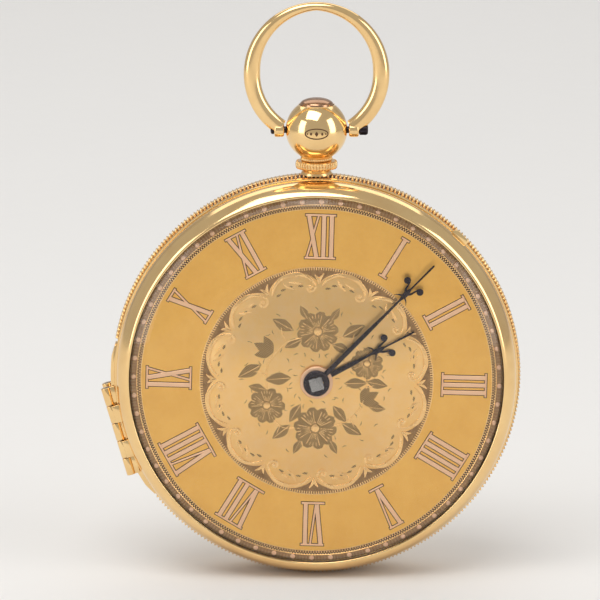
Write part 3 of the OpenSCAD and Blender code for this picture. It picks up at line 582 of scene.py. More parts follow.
class WatchHandSettings(bpy.types.PropertyGroup):
    steel: paint("Blued steel", "Colour of the hands", (0.028, 0.024, 0.032))
    minute_angle: bpy.props.FloatProperty(name="Minute hand", description="Clockwise from 12 o'clock",
                                          default=math.radians(44.3), subtype="ANGLE", unit="ROTATION")
    hour_angle: bpy.props.FloatProperty(name="Hour hand", description="Clockwise from 12 o'clock",
                                        default=math.radians(62.1), subtype="ANGLE", unit="ROTATION")
    minute_length: length("Minute hand length", "From the centre to the tip", 18.7)
    hour_length: length("Hour hand length", "From the centre to the tip", 12.3)


class WatchMovementSettings(bpy.types.PropertyGroup):
    gilt: paint("Gilt brass", "Colour of the plates and wheels", (0.80, 0.55, 0.23))
    steel: paint("Steel", "Colour of the arbors and springs", (0.36, 0.35, 0.34))
    ruby: paint("Ruby", "Colour of the jewels", (0.55, 0.01, 0.05))


class WatchStageSettings(bpy.types.PropertyGroup):
    paper: paint("Backdrop", "Colour of the paper sweep", (0.79, 0.77, 0.74))
    key_power: bpy.props.FloatProperty(name="Key light", description="Power of the large light above",
                                       default=2.1, min=0)
    fill_power: bpy.props.FloatProperty(name="Fill lights", description="Power of the lights at the sides",
                                        default=0.95, min=0)
    back_power: bpy.props.FloatProperty(name="Back light", description="Power of the light over the paper",
                                        default=1.65, min=0)
    distance: bpy.props.FloatProperty(name="Camera distance", description="From the camera to the watch",
                                      default=0.4645, subtype="DISTANCE", unit="LENGTH")
    elevation: bpy.props.FloatProperty(name="Camera elevation", description="Angle of the camera above level",
                                       default=math.radians(12.4), subtype="ANGLE", unit="ROTATION")


# ---- Pieces ----

class WATCH_OT_finishes(bpy.types.Operator):
    """Make the finishes of the watch and give the frame's own pieces theirs"""
    bl_idname = "watch.finishes"
    bl_label = "Finishes"

    def execute(self, context):
        scene = context.scene
        case, dial = scene.watch_case, scene.watch_dial
        hands, works, pendant = scene.watch_hands, scene.watch_movement, scene.watch_pendant
        build_effects()
        metal("polished gold", case.gold, case.gold_shade, 0.35, 90, 0.07, 0.16, 5000, 0.03)
        metal("band gold", case.gold, case.gold_shade, 0.6, 150, 0.16, 0.28, 5000, 0.05)
        metal("frosted dial gold", dial.field, dial.field_shade, 0.45, 260, 0.36, 0.46, 9000, 0.35)
        metal("medallion gold", dial.centre, dial.field, 0.55, 330, 0.30, 0.42, 7000, 0.4)
        metal("scroll gold", dial.centre, dial.field_shade, 0.3, 500, 0.22, 0.32, 7000, 0.25)
        metal("hatched carving", dial.shaded, (0.26, 0.155, 0.06), 0.8, 1500, 0.34, 0.5, 9000, 0.4,
              lines=("hatching", {"Lines_scale": 1900, "Turn": 0.9, "Waver": 5.0}, (0.70, 0.46, 0.20), 1.5))
        metal("matted ground", (0.30, 0.165, 0.07), (0.52, 0.31, 0.13), 0.75, 1800, 0.42, 0.55, 9000, 0.8)
        metal("minute ring brown", dial.track, (0.50, 0.32, 0.15), 0.4, 900, 0.35, 0.5, 9000, 0.3,
              lines=("radial lines", {"Count": 360.0}, (0.42, 0.26, 0.12), 0.6))
        metal("rose gold", dial.numerals, (0.94, 0.54, 0.33), 0.3, 400, 0.34, 0.42, 7000, 0.15, metallic=0.55)
        metal("shadow line", (0.09, 0.04, 0.018), (0.16, 0.08, 0.035), 0.5, 900, 0.45, 0.6, 7000, 0.2,
              metallic=0.6)
        metal("cap bronze", pendant.cap, (0.30, 0.16, 0.09), 0.5, 300, 0.14, 0.26, 4000, 0.08)
        metal("blued steel", hands.steel, (0.05, 0.035, 0.03), 0.6, 300, 0.22, 0.34, 6000, 0.1)
        metal("grey steel", works.steel, (0.20, 0.19, 0.18), 0.5, 350, 0.16, 0.30, 5000, 0.12)
        metal("gilt brass", works.gilt, (0.58, 0.34, 0.11), 0.45, 220, 0.24, 0.38, 8000, 0.3)
        metal("brass wheels", (0.83, 0.60, 0.26), (0.52, 0.32, 0.10), 0.35, 260, 0.14, 0.26, 7000, 0.1)
        clear_material("watch glass", (1.0, 1.0, 1.0), 0.004, 1.3, 1.0)
        clear_material("ruby", works.ruby, 0.04, 1.76, 0.6)
        kinds = {
            "gold": "polished gold", "dial_gold": "frosted dial gold", "dark_track": "minute ring brown",
            "rose_gold": "rose gold", "gilt_brass": "gilt brass", "blued_steel": "blued steel",
            "steel": "grey steel", "ruby": "ruby", "crystal": "watch glass"}
        wheels = ("great_wheel", "centre_wheel", "third_wheel", "fourth_wheel", "escape_wheel", "balance_wheel",
                  "minute_wheel", "hour_wheel", "barrel", "balance_screws")
        for node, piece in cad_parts.items():
            held = piece.data.materials[0].name if piece.data.materials else ""
            material = next((kinds[k] for k in kinds if held.startswith(k)), "gilt brass")
            if node in wheels:
                material = "brass wheels"
            for place in piece.material_slots:
                place.material = bpy.data.materials[material]
        return {"FINISHED"}


class WATCH_OT_band(bpy.types.Operator):
    """Make the reeded middle of the case with its joints"""
    bl_idname = "watch.band"
    bl_label = "Case band"

    def execute(self, context):
        case = context.scene.watch_case
        outer = case.band_radius / MM
        root = outer - case.reed_depth / MM
        hoop = lathe("case_band_hoop", [
            (21.4, BAND_BACK), (LIP_R - 0.1, BAND_BACK), (LIP_R, BAND_BACK + 0.08), (LIP_R, REEDS_Z[0] - 0.15),
            (LIP_R - 0.08, REEDS_Z[0] - 0.08), (root, REEDS_Z[0] + 0.05), (root, REEDS_Z[1] - 0.05),
            (LIP_R - 0.08, REEDS_Z[1] + 0.08), (LIP_R, REEDS_Z[1] + 0.15), (LIP_R, BAND_FRONT - 0.1),
            (LIP_R - 0.08, BAND_FRONT), (21.4, BAND_FRONT),
            (21.4, -2.8), (19.8, -2.8), (19.8, -3.6), (21.4, -3.6)], steps=256)
        cut(hoop, settle(rod("rod_way", 0.62, 6), (0, 21.5, -PENDANT_Y / MM), (90, 0, 0)))
        clear_selection()
        bpy.ops.mesh.primitive_cube_add(size=1, location=mm((0, 20.05, -3.6)))
        slot = named("catch_way")
        slot.scale = mm((3.4, 2.5, 2))
        bpy.ops.object.transform_apply(location=True, scale=True)
        cut(hoop, slot)
        finish(clear_joints(hoop), "polished gold", replaces=("case_band",), sharp=30)

        step = 360 / case.reed_count
        half = math.radians(step) * outer / 2
        low, high = REEDS_Z
        reed = raised("band_reeds", [
            (root - 0.05, -half * 0.54), (root + 0.1, -half * 0.52), (outer - 0.05, -half * 0.3),
            (outer, 0), (outer - 0.05, half * 0.3), (root + 0.1, half * 0.52),
            (root - 0.05, half * 0.54)], low, high, 0.06, 1)
        plain = math.degrees(case.plain_to - case.plain_from)
        settle(reed, turn=(0, 0, math.degrees(case.plain_to) + step))
        ring_of(reed, int((360 - plain) / step) - 1, step)
        finish(reed, "band gold", sharp=50)

        start, end = math.degrees(case.plain_from), math.degrees(case.plain_to)
        # A dark ring under the reeds: painted shade in the gaps between them.
        floor = lathe("reed_floor", [(root - 0.1, low + 0.02), (root + 0.04, low + 0.02),
                                     (root + 0.04, high - 0.02), (root - 0.1, high - 0.02)], steps=256)
        finish(clear_joints(floor), "shadow line")
        turns = [start + (end - start) * i / 40 for i in range(41)]
        swell = [polar(root + 0.25 + 0.25 * min(1, i / 3, (40 - i) / 3), a) for i, a in enumerate(turns)]
        back = [polar(root - 0.1, a) for a in reversed(turns)]
        plate = raised("band_joint_plate", swell + back, low - 0.1, high + 0.1, 0.1)
        finish(clear_joints(plate), "polished gold", sharp=40)

        front = joint_knuckles("band_front_knuckles", FRONT_JOINT_Z, [(-5.2, -3.2), (-1, 1), (3.2, 5.2)],
                               (0, 1.0, -0.3, 0.3))
        back_barrels = joint_knuckles("band_back_knuckles", BACK_JOINT_Z, [(-5.2, -3.9), (-0.7, 0.7), (3.9, 5.2)],
                                      (0, 1.0, -0.3, 0.3))
        finish(join("band_knuckles", [front, back_barrels]), "polished gold")
        return {"FINISHED"}


class WATCH_OT_bezel(bpy.types.Operator):
    """Make the hinged bezel with its polished rim, thumb lip and joint"""
    bl_idname = "watch.bezel"
    bl_label = "Bezel"

    def execute(self, context):
        foot = BAND_FRONT + 0.05
        outside = smooth([(22.36, foot), (22.46, foot + 0.12), (22.47, -1.70), (22.41, -1.20), (22.20, -0.62),
                          (21.86, -0.08), (21.52, 0.32), (21.27, 0.53), (21.10, 0.60)], 4)
        rim = lathe("bezel_rim", outside + [
            (21.02, 0.58), (20.96, 0.52), (20.95, 0.46), (20.95, 0.30), (21.30, 0.30),
            (21.30, BAND_FRONT + 0.5), (21.05, BAND_FRONT + 0.25), (21.3, foot)], steps=256)
        lip = raised("bezel_lip", [(22.3, -1.1), (22.85, -1.05), (23.02, -0.8), (23.05, 0), (23.02, 0.8),
                                   (22.85, 1.05), (22.3, 1.1)], foot, foot + 0.3, 0.08)
        settle(lip, turn=(0, 0, 45))
        snap_from, snap_to = JOINT_TURN + 180 + 60, JOINT_TURN + 180 + 300
        turns = [snap_from + (snap_to - snap_from) * i / 96 for i in range(97)]
        snap = raised("bezel_snap", [polar(21.35, a) for a in turns] + [polar(21.05, a) for a in turns[::-1]],
                      BAND_FRONT - 0.55, BAND_FRONT + 0.3)
        barrels = joint_knuckles("bezel_knuckles", FRONT_JOINT_Z, [(-3.1, -1.1), (1.1, 3.1)],
                                 (0.1, 1.0, 0.42, 0.84))
        finish(join("bezel_rim", [rim, lip, snap, barrels]), "polished gold", "bezel", ("bezel",))
        return {"FINISHED"}


class WATCH_OT_glass(bpy.types.Operator):
    """Make the domed glass in the bezel"""
    bl_idname = "watch.glass"
    bl_label = "Glass"

    def execute(self, context):
        top = -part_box("crystal")[0].y / MM
        edge_z, outer, inner, thick, steps = 0.6, 20.85, 20.6, 0.5, 24
        rise = top - edge_z
        over = [(outer * i / steps, top - rise * (i / steps) ** 6) for i in range(steps + 1)]
        under = [(inner * i / steps, top - thick - (rise - 0.28) * (i / steps) ** 6)
                 for i in range(steps, -1, -1)]
        dome = lathe("glass", over + [(20.9, 0.25), (21.25, 0.25), (21.25, -0.1), (20.95, -0.1), (20.9, 0.08)]
                     + under, steps=192, closed=False)
        finish(dome, "watch glass", "bezel", ("crystal",))
        return {"FINISHED"}


class WATCH_OT_pendant(bpy.types.Operator):
    """Make the pendant: ball, stem, beaded collar and push piece"""
    bl_idname = "watch.pendant"
    bl_label = "Pendant"

    def execute(self, context):
        look = context.scene.watch_pendant
        ball_r = look.ball_radius / MM
        ball_z = BALL_Z / MM
        flat = ball_z + 2.85
        low = math.degrees(math.asin(-3.0 / ball_r))
        high = math.degrees(math.asin(2.8 / ball_r))
        skin = [(ball_r * math.cos(math.radians(a)), ball_z + ball_r * math.sin(math.radians(a)))
                for a in [low + (high - low) * i / 30 for i in range(31)]]
        ball = lathe("pendant_ball_skin", [(0.56, 24.5), (1.62, 24.5), (1.58, 24.62)] + skin + [
            (2.02, flat + 0.01), (1.92, flat - 0.02), (1.90, flat - 0.12), (1.90, flat - 1.35),
            (1.25, flat - 1.35), (1.25, ball_z - 1.6), (0.56, ball_z - 1.6)], steps=96)
        centre = (0, PENDANT_Y / MM, 0)
        settle(ball, centre)
        finish(ball, "polished gold", replaces=("pendant_ball",), upright=False)

        marks = [
            draw("pendant_mark", [(x, y, 0) for x, y in moved(shape, place)], closed=True, fill=True)
            for shape, place in (
                ([(-0.20, 0), (0, 0.3), (0.20, 0), (0, -0.3)], (0, 0.1)),
                ([(-0.15, 0), (0, 0.2), (0.15, 0), (0, -0.2)], (-0.62, 0.1)),
                ([(-0.15, 0), (0, 0.2), (0.15, 0), (0, -0.2)], (0.62, 0.1)),
                (disc(0.09, 12), (-1.02, 0.1)),
                (disc(0.09, 12), (1.02, 0.1)))]
        oval = [(1.32 * x, 0.1 + 0.62 * y) for x, y in disc(1, 48)]
        hole = [(1.20 * x, 0.1 + 0.50 * y) for x, y in disc(1, 48)]
        ring = draw("pendant_mark", [(x, y, 0) for x, y in oval], closed=True)
        inner = draw("pendant_mark", [(x, y, 0) for x, y in hole], closed=True)
        ring = join("pendant_mark", [ring, inner])
        edit(ring)
        bpy.ops.mesh.bridge_edge_loops()
        leave_edit()
        mark = join("pendant_mark", marks + [ring])
        settle(mark, (0, -5 + PENDANT_Y / MM, ball_z), (90, 0, 0))
        edit(mark)
        bpy.ops.mesh.quads_convert_to_tris()
        bpy.ops.mesh.subdivide(number_cuts=1)
        leave_edit()
        wrap = mark.modifiers.new("wrap", "SHRINKWRAP")
        wrap.target = ball
        wrap.wrap_method = "PROJECT"
        wrap.use_project_x = wrap.use_project_z = False
        wrap.use_project_y = True
        wrap.use_negative_direction = wrap.use_positive_direction = True
        wrap.offset = 0.01 * MM
        bpy.ops.object.modifier_apply(modifier=wrap.name)
        body = mark.modifiers.new("body", "SOLIDIFY")
        body.thickness = 0.06 * MM
        body.offset = 0
        bpy.ops.object.modifier_apply(modifier=body.name)
        close_up(mark)
        finish(mark, "shadow line", upright=False)

        stem = lathe("pendant_collar_skin", [
            (0.56, 22.9), (1.75, 22.9), (1.74, 23.05), (1.56, 23.3), (1.60, 23.45), (1.80, 23.56),
            (2.10, 23.60), (2.20, 23.70), (2.20, 24.30), (2.10, 24.40), (1.80, 24.44), (1.66, 24.5),
            (0.56, 24.5)], steps=96)
        settle(stem, centre)
        # The stem takes the darker, more tarnished band gold: partly real tarnish, partly painted shade at the foot
        # of the collar.
        finish(stem, "band gold", replaces=("pendant_collar",), upright=False)
        collar = bead("collar_beads", 0.17, (2.19, 0, 24), (1, 0.94, 2.55))
        ring_of(collar, look.bead_count, 360 / look.bead_count)
        settle(collar, centre)
        finish(collar, "band gold", upright=False, sharp=60)
        rope = bead("stem_rope", 0.16, (1.66, 0, 24.68), (0.75, 0.8, 1.25), turn=35)
        ring_of(rope, 40, 9)
        settle(rope, centre)
        finish(rope, "band gold", upright=False, sharp=60)

        dome = smooth([(1.84, flat + 0.14), (1.77, flat + 0.25), (1.55, flat + 0.43), (1.1, flat + 0.62),
                       (0.6, flat + 0.72), (0, flat + 0.75)], 4)
        cap = lathe("push_cap", [(0, 21.45), (0.42, 21.45), (0.5, 21.53), (0.5, flat - 0.7), (1.78, flat - 0.7),
                                 (1.84, flat - 0.64)] + dome, steps=96, closed=False)
        settle(cap, centre)
        finish(cap, "cap bronze", "push_piece", ("push_piece",), upright=False)
        return {"FINISHED"}


class WATCH_OT_bow(bpy.types.Operator):
    """Make the bow, its eyes and the two screws it turns on"""
    bl_idname = "watch.bow"
    bl_label = "Bow"

    def execute(self, context):
        look = context.scene.watch_pendant
        outer, middle = look.bow_radius / MM, look.bow_height / MM
        top, side = look.bow_top / MM, look.bow_side / MM
        ball_z = BALL_Z / MM
        start = math.degrees(math.asin((ball_z + 0.25 - middle) / (outer - side / 2)))
        steps, sides = 88, 24
        clear_selection()
        bpy.ops.mesh.primitive_circle_add(vertices=sides, radius=0.1 * MM)
        loop = named("bow_loop")
        edit(loop)
        bpy.ops.mesh.delete(type="VERT")
        for i in range(steps + 1):
            angle = start + (180 - 2 * start) * i / steps
            lean = abs(math.sin(math.radians((angle - 90) / 2)))
            thick = top + (side - top) * min(1, lean * 1.45)
            deep = 1.15 + (1.4 - 1.15) * min(1, lean * 1.4)
            x, z = polar(outer - thick / 2, angle)
            place = mm((x, PENDANT_Y / MM, middle + z))
            bpy.ops.mesh.primitive_circle_add(vertices=sides, radius=thick / 2 * MM, location=place,
                                              rotation=(0, -math.radians(angle), 0))
            bpy.ops.transform.resize(value=(1, deep / thick, 1), center_override=place)
            if i:
                base = (i - 1) * sides
                pick(loop, "verts", lambda v: base <= v.index < base + 2 * sides)
                bpy.ops.mesh.select_mode(type="EDGE")
                bpy.ops.mesh.bridge_edge_loops()
        for low, high in ((0, sides), (steps * sides, (steps + 1) * sides)):
            pick(loop, "verts", lambda v: low <= v.index < high)
            bpy.ops.mesh.edge_face_add()
        leave_edit()
        close_up(loop)
        eyes = []
        for way in (1, -1):
            eye = lathe("bow_eye", [(0.43, 3.62), (0.7, 3.62), (0.79, 3.7), (0.82, 3.85), (0.82, 4.5),
                                    (0.79, 4.62), (0.7, 4.7), (0.43, 4.7)], steps=48)
            eyes.append(settle(eye, (0, PENDANT_Y / MM, ball_z), (0, 90 * way, 0)))
        bow = join("bow_loop", [loop] + eyes)
        finish(bow, "polished gold", "bow", ("bow",), upright=False)

        head = lathe("bow_screw_heads", [(0, 2.2), (0.36, 2.2), (0.38, 2.25), (0.38, 4.72), (0.52, 4.76),
                                         (0.55, 4.85), (0.55, 5.6), (0.45, 5.73), (0, 5.75)], 48, closed=False)
        clear_selection()
        bpy.ops.mesh.primitive_cube_add(size=1, location=mm((0.53, 0, 5.2)))
        knurl = named("bow_screw_knurl")
        knurl.scale = mm((0.12, 0.045, 0.72))
        bpy.ops.object.transform_apply(location=True, scale=True)
        edit(knurl)
        bpy.ops.mesh.bevel(offset=0.018 * MM, segments=1, affect="EDGES")
        leave_edit()
        ring_of(knurl, 22, 360 / 22)
        right = settle(join("bow_screw_heads", [head, knurl]), (0, PENDANT_Y / MM, ball_z), (0, 90, 0))
        tip = lathe("bow_screw_tip", [(0, 2.2), (0.36, 2.2), (0.38, 2.25), (0.38, 4.7), (0.48, 4.76),
                                      (0.5, 4.82), (0.48, 5.0), (0.35, 5.1), (0, 5.15)], 48, closed=False)
        left = settle(tip, (0, PENDANT_Y / MM, ball_z), (0, -90, 0))
        finish(join("bow_screw_heads", [right, left]), "blued steel",
               replaces=("bow_screws",), upright=False)
        return {"FINISHED"}


class WATCH_OT_dial(bpy.types.Operator):
    """Make the dial's milled ring, minute studs and applied numerals"""
    bl_idname = "watch.dial"
    bl_label = "Dial and numerals"

    LETTERS = ("XII", "I", "II", "III", "IIII", "V", "VI", "VII", "VIII", "IX", "X", "XI")
    WIDE = {"I": 0.86, "V": 1.62, "X": 1.58}
    THICK = 0.46
    THIN = 0.2

    def strokes(self, letters, tall):
        """The strokes of one numeral as (foot, head, width), standing on y = 0 and centred on x = 0."""
        whole = sum(self.WIDE[c] for c in letters)
        x = -whole / 2
        bars = []
        for c in letters:
            w = self.WIDE[c]
            if c == "I":
                bars.append(((x + w / 2, 0.13), (x + w / 2, tall - 0.13), self.THICK))
            if c == "V":
                bars.append(((x + w / 2, 0.2), (x + 0.30, tall - 0.13), self.THICK))
                bars.append(((x + w / 2 + 0.12, 0.2), (x + w - 0.16, tall - 0.13), self.THIN))
            if c == "X":
                bars.append(((x + w - 0.34, 0.13), (x + 0.34, tall - 0.13), self.THICK))
                bars.append(((x + 0.18, 0.13), (x + w - 0.18, tall - 0.13), self.THIN))
            x += w
        return bars, whole

    def bar(self, foot, head, width, grow=0.0):
        run = Vector((head[0] - foot[0], head[1] - foot[1]))
        side = Vector((-run.y, run.x)).normalized() * (width / 2 + grow)
        end = run.normalized() * grow
        a, b = Vector(foot) - end, Vector(head) + end
        return [tuple(a - side), tuple(b - side), tuple(b + side), tuple(a + side)]

    def execute(self, context):
        look = context.scene.watch_dial
        inner, outer = look.numeral_inner / MM, look.numeral_outer / MM
        turn = -math.degrees(look.dial_turn)
        bars, lines = [], []
        for hour, letters in enumerate(self.LETTERS):
            spin = turn - 30 * hour
            strokes, whole = self.strokes(letters, outer - inner)
            serifs = [((-whole / 2 - 0.05, y), (whole / 2 + 0.05, y), self.THIN)
                      for y in (0.04, outer - inner - 0.04)]
            for n, (foot, head, width) in enumerate(strokes + serifs):
                top = 0.12 - 0.004 * (n % 3)
                body = [(x, y + inner) for x, y in self.bar(foot, head, width)]
                # Each bar sits on a slightly larger dark outline in the shadow line finish: painted shade round the
                # raised numeral.
                edge = [(x, y + inner) for x, y in self.bar(foot, head, width, 0.085)]
                bars.append(raised("numeral_bars", moved(body, (0, 0), spin), 0.0, top, 0.035, 1))
                lines.append(raised("numeral_outlines", moved(edge, (0, 0), spin), -0.02, 0.012 + 0.001 * (n % 4)))
        finish(join("numeral_bars", bars), "rose gold", replaces=("hour_numerals",), sharp=20)
        finish(join("numeral_outlines", lines), "shadow line")

        stud = bead("minute_stud_domes", 0.28, (0, 20.45, 0.05), (1, 1, 0.45), 16, 10)
        settle(stud, turn=(0, 0, turn))
        ring_of(stud, 60, 6)
        finish(stud, "rose gold", replaces=("minute_studs",), sharp=60)

        mill = [
            raised("milled_ring", [(-0.055, low), (0.055, low), (0.06, high), (-0.06, high)], -0.01, 0.035)
            for low, high in ((19.66, 19.86), (19.9, 20.08))]
        settle(mill[1], turn=(0, 0, 180 / 420))
        mill = ring_of(join("milled_ring", mill), 420, 360 / 420)
        finish(mill, "scroll gold", sharp=20)
        rings = [lathe("dial_rings", [(r - w, -0.01), (r - w, h * 0.6), (r - w / 3, h), (r + w / 3, h),
                                      (r + w, h * 0.6), (r + w, -0.01)], steps=192)
                 for r, w, h in ((19.6, 0.04, 0.03), (20.1, 0.05, 0.06))]
        # A dark ring under the milled ticks: painted shade in the gaps between them.
        ground = lathe("milled_ground", [(19.62, -0.01), (20.1, -0.01), (20.1, 0.012), (19.62, 0.012)])
        finish(ground, "shadow line")
        finish(join("dial_rings", rings), "scroll gold")
        return {"FINISHED"}


class WATCH_OT_medallion(bpy.types.Operator):
    """Make the carved centre of the dial: scalloped border, scrolls and wreath of flowers"""
    bl_idname = "watch.medallion"
    bl_label = "Medallion"

    def execute(self, context):
        look = context.scene.watch_dial
        radius = look.medallion_radius / MM
        turn = -math.degrees(look.dial_turn)
        finish(lathe("medallion_ground", [(1.3, -0.01), (radius, -0.01), (radius, 0.016), (1.3, 0.016)], 192),
               "matted ground", replaces=("dial_medallion",))
        tick = raised("medallion_ticks", [(-0.05, radius - 0.28), (0.05, radius - 0.28),
                                          (0.055, radius + 0.02), (-0.055, radius + 0.02)], 0.0, 0.035)
        finish(ring_of(tick, 300, 360 / 300), "scroll gold", sharp=20)
        edge = lathe("medallion_edge", [(radius, -0.01), (radius, 0.05), (radius + 0.05, 0.07),
                                        (radius + 0.1, 0.05), (radius + 0.1, -0.01)], 192)
        finish(edge, "scroll gold")

        outline = []
        for n in range(12):
            for i in range(14):
                t = i / 14
                bulge = math.sin(math.pi * t) ** 0.75
                outline.append(polar(radius - 1.75 + 1.47 * bulge, 90 + turn + 30 * (n + t)))
        plate = raised("medallion_scallops", outline, 0.0, 0.05, 0.03, 1)
        finish(plate, "medallion gold", sharp=50)

        arc = [polar(radius - 0.52 - 1.5 * abs(t) ** 2.6, 90 + 13.2 * t) for t in
               (-1, -0.8, -0.55, -0.3, 0, 0.3, 0.55, 0.8, 1)]
        band = raised("border_scrolls", ribbon(arc, [0.2, 0.34, 0.46, 0.52, 0.5, 0.46, 0.4, 0.3, 0.16]),
                      0.03, 0.11, 0.05)
        curl_a = [polar(radius - 2.02, 90 - 13.2), polar(radius - 2.5, 90 - 12.2), polar(radius - 2.68, 90 - 9.6),
                  polar(radius - 2.4, 90 - 7.9), polar(radius - 2.05, 90 - 8.6), polar(radius - 2.12, 90 - 10.2)]
        curl = raised("border_scrolls", ribbon(curl_a, [0.2, 0.26, 0.26, 0.24, 0.2, 0.2]), 0.03, 0.1, 0.04)
        knob = raised("border_scrolls", moved(disc(0.24, 16), polar(radius - 2.2, 90 - 9.9)), 0.03, 0.12, 0.05)
        leaf_a = [polar(radius - 1.25, 90 + 2), polar(radius - 1.6, 90 - 2.5), polar(radius - 1.7, 90 - 5.5)]
        leaf_b = [polar(radius - 1.2, 90 + 5), polar(radius - 1.75, 90 + 3), polar(radius - 2.25, 90 - 1)]
        sprigs = [raised("border_scrolls", ribbon(line, [0.06, 0.3, 0.08]), 0.03, 0.09, 0.03)
                  for line in (leaf_a, leaf_b)]
        tip = [polar(radius - 1.85, 90 + 15), polar(radius - 1.2, 90 + 14.4), polar(radius - 0.62, 90 + 12.6)]
        twin = [polar(radius - 1.85, 90 + 15), polar(radius - 1.25, 90 + 15.8), polar(radius - 0.8, 90 + 17.4)]
        spear = [raised("border_scrolls", ribbon(line, [0.12, 0.34, 0.1]), 0.02, 0.1, 0.04) for line in (tip, twin)]
        scroll = join("border_scrolls", [band, curl, knob] + sprigs + spear)
        settle(scroll, turn=(0, 0, turn - 15))
        finish(ring_of(scroll, 12, 30), "scroll gold", sharp=60)
        pit = [(-0.32, -0.06), (0, -0.13), (0.32, -0.04), (0.1, 0.1), (-0.2, 0.12)]
        pits = []
        for t, r in ((-9.9, 2.2), (-4.5, 1.95), (1.5, 1.8), (6.0, 1.9), (9.6, 2.3)):
            pits.append(raised("border_shadows", moved(pit, polar(radius - r, 90 + t), t * 2), 0.04, 0.056))
        pits = join("border_shadows", pits)
        settle(pits, turn=(0, 0, turn - 15))
        finish(ring_of(pits, 12, 30), "hatched carving")
        self.wreath(turn)
        return {"FINISHED"}

    def wreath(self, turn):
        petal = [(0, 0.12), (0.22, 0.2), (0.42, 0.42), (0.53, 0.68), (0.46, 0.92), (0.26, 1.0), (0.08, 0.94),
                 (0, 0.86), (-0.08, 0.94), (-0.26, 1.0), (-0.46, 0.92), (-0.53, 0.68), (-0.42, 0.42), (-0.22, 0.2)]
        leaf = [(0, 0), (0.1, 0.14), (0.22, 0.34), (0.24, 0.52), (0.17, 0.72), (0.07, 0.9), (0, 1),
                (-0.07, 0.9), (-0.17, 0.72), (-0.24, 0.52), (-0.22, 0.34), (-0.1, 0.14)]
        dark, light = [], []
        for x, y, wide, spin in ((0, 5.7, 4.5, 10), (0, -5.4, 4.7, 30), (-5.5, -2.9, 4.0, 0), (5.6, 2.2, 3.5, 20)):
            for n in range(5):
                dark.append(carved("wreath_petals", moved(petal, (x, y), spin + 72 * n, wide / 2), 0.03, 0.07, 0.05))
                vein = [(0, 0.26), (0, 0.86)]
                for lean in (-22, -11, 0, 11, 22):
                    light.append(raised("wreath_veins", moved(
                        moved(ribbon(vein, [0.02, 0.035], 2), (0, 0), lean), (x, y), spin + 72 * n, wide / 2),
                        0.07, 0.125))
            light.append(raised("wreath_veins", moved(disc(0.2, 14), (x, y), 0, wide / 2), 0.03, 0.15, 0.06))
            for n in range(8):
                seed = moved([polar(0.3, 45 * n)], (x, y), 0, wide / 2)[0]
                light.append(raised("wreath_veins", moved(disc(0.07, 8), seed), 0.03, 0.14, 0.02, 1))
        for x, y, spin, long in ((5.0, -2.2, -60, 2.3), (-4.9, 3.2, 65, 2.4)):
            for lean, share in ((-34, 0.9), (0, 1), (34, 0.9)):
                dark.append(carved("wreath_petals", moved(leaf, (x, y), spin + lean, long * share), 0.03, 0.07, 0.05))
        for x, y, spin, long in (
                (-3.9, 6.4, 62, 2.0), (4.0, 5.9, -60, 2.1), (-2.7, 4.3, 118, 1.6), (2.7, 3.9, -110, 1.7),
                (-7.5, 1.0, 120, 2.2), (-4.3, 0.2, 96, 2.2), (4.4, -0.1, -88, 1.9), (6.8, -0.1, -100, 1.8),
                (-2.3, -3.7, 150, 1.8), (-3.8, -5.9, 130, 1.9), (2.7, -3.7, -140, 1.8), (4.1, -5.4, -120, 1.9),
                (-6.6, -0.9, 80, 1.5), (6.9, -2.9, -95, 1.4), (-1.6, 7.9, 30, 1.3), (1.9, 7.7, -32, 1.3),
                (-2.0, -7.6, 155, 1.3), (2.1, -7.5, -152, 1.3)):
            long *= 1.35
            foot = moved([polar(-long / 2, spin + 90)], (x, y))[0]
            dark.append(carved("wreath_petals", moved(leaf, foot, spin, long), 0.03, 0.065, 0.04))
            rib = moved(ribbon([(0, 0.05), (0, 0.9)], [0.03, 0.015], 2), foot, spin, long)
            light.append(raised("wreath_veins", rib, 0.05, 0.125))
        for n in range(96):
            spot = polar(2.6 + 5.9 * (0.5 + 0.5 * math.sin(2.4 * n)), 360 * n / 96)
            stroke = moved(ribbon([(0, 0), (0.1, 0.25), (0.05, 0.55)], [0.02, 0.1, 0.03], 2), spot, 47 * n)
            dark.append(raised("wreath_petals", stroke, 0.03, 0.06))
        for line in (
                [(-1.7, 5.0), (-3.4, 4.4), (-4.6, 3.2), (-5.6, 1.6), (-5.6, -1.0)],
                [(-5.0, -4.3), (-3.6, -5.4), (-1.9, -5.4)],
                [(1.9, -5.2), (3.6, -4.4), (4.9, -3.0), (5.6, -1.0), (5.4, 0.9)],
                [(4.9, 3.4), (3.6, 4.7), (1.8, 5.4)],
                [(-3.6, 4.6), (-4.0, 5.4), (-4.1, 6.2)],
                [(3.8, 4.6), (4.0, 5.2), (4.1, 5.8)],
                [(-5.6, 0.6), (-6.4, 0.9), (-7.2, 1.0)],
                [(5.6, -0.6), (6.2, -0.4), (6.8, -0.1)],
                [(3.9, -4.4), (4.3, -5.0), (4.4, -5.8)],
                [(-3.9, -5.2), (-4.2, -5.8), (-4.3, -6.4)]):
            light.append(raised("wreath_veins", ribbon(line, [0.1] * len(line), 4), 0.03, 0.1, 0.02, 1))
        petals = settle(join("wreath_petals", dark), turn=(0, 0, turn))
        finish(petals, "hatched carving", replaces=("dial_flowers",), sharp=20)
        veins = settle(join("wreath_veins", light), turn=(0, 0, turn))
        finish(veins, "scroll gold", sharp=30)


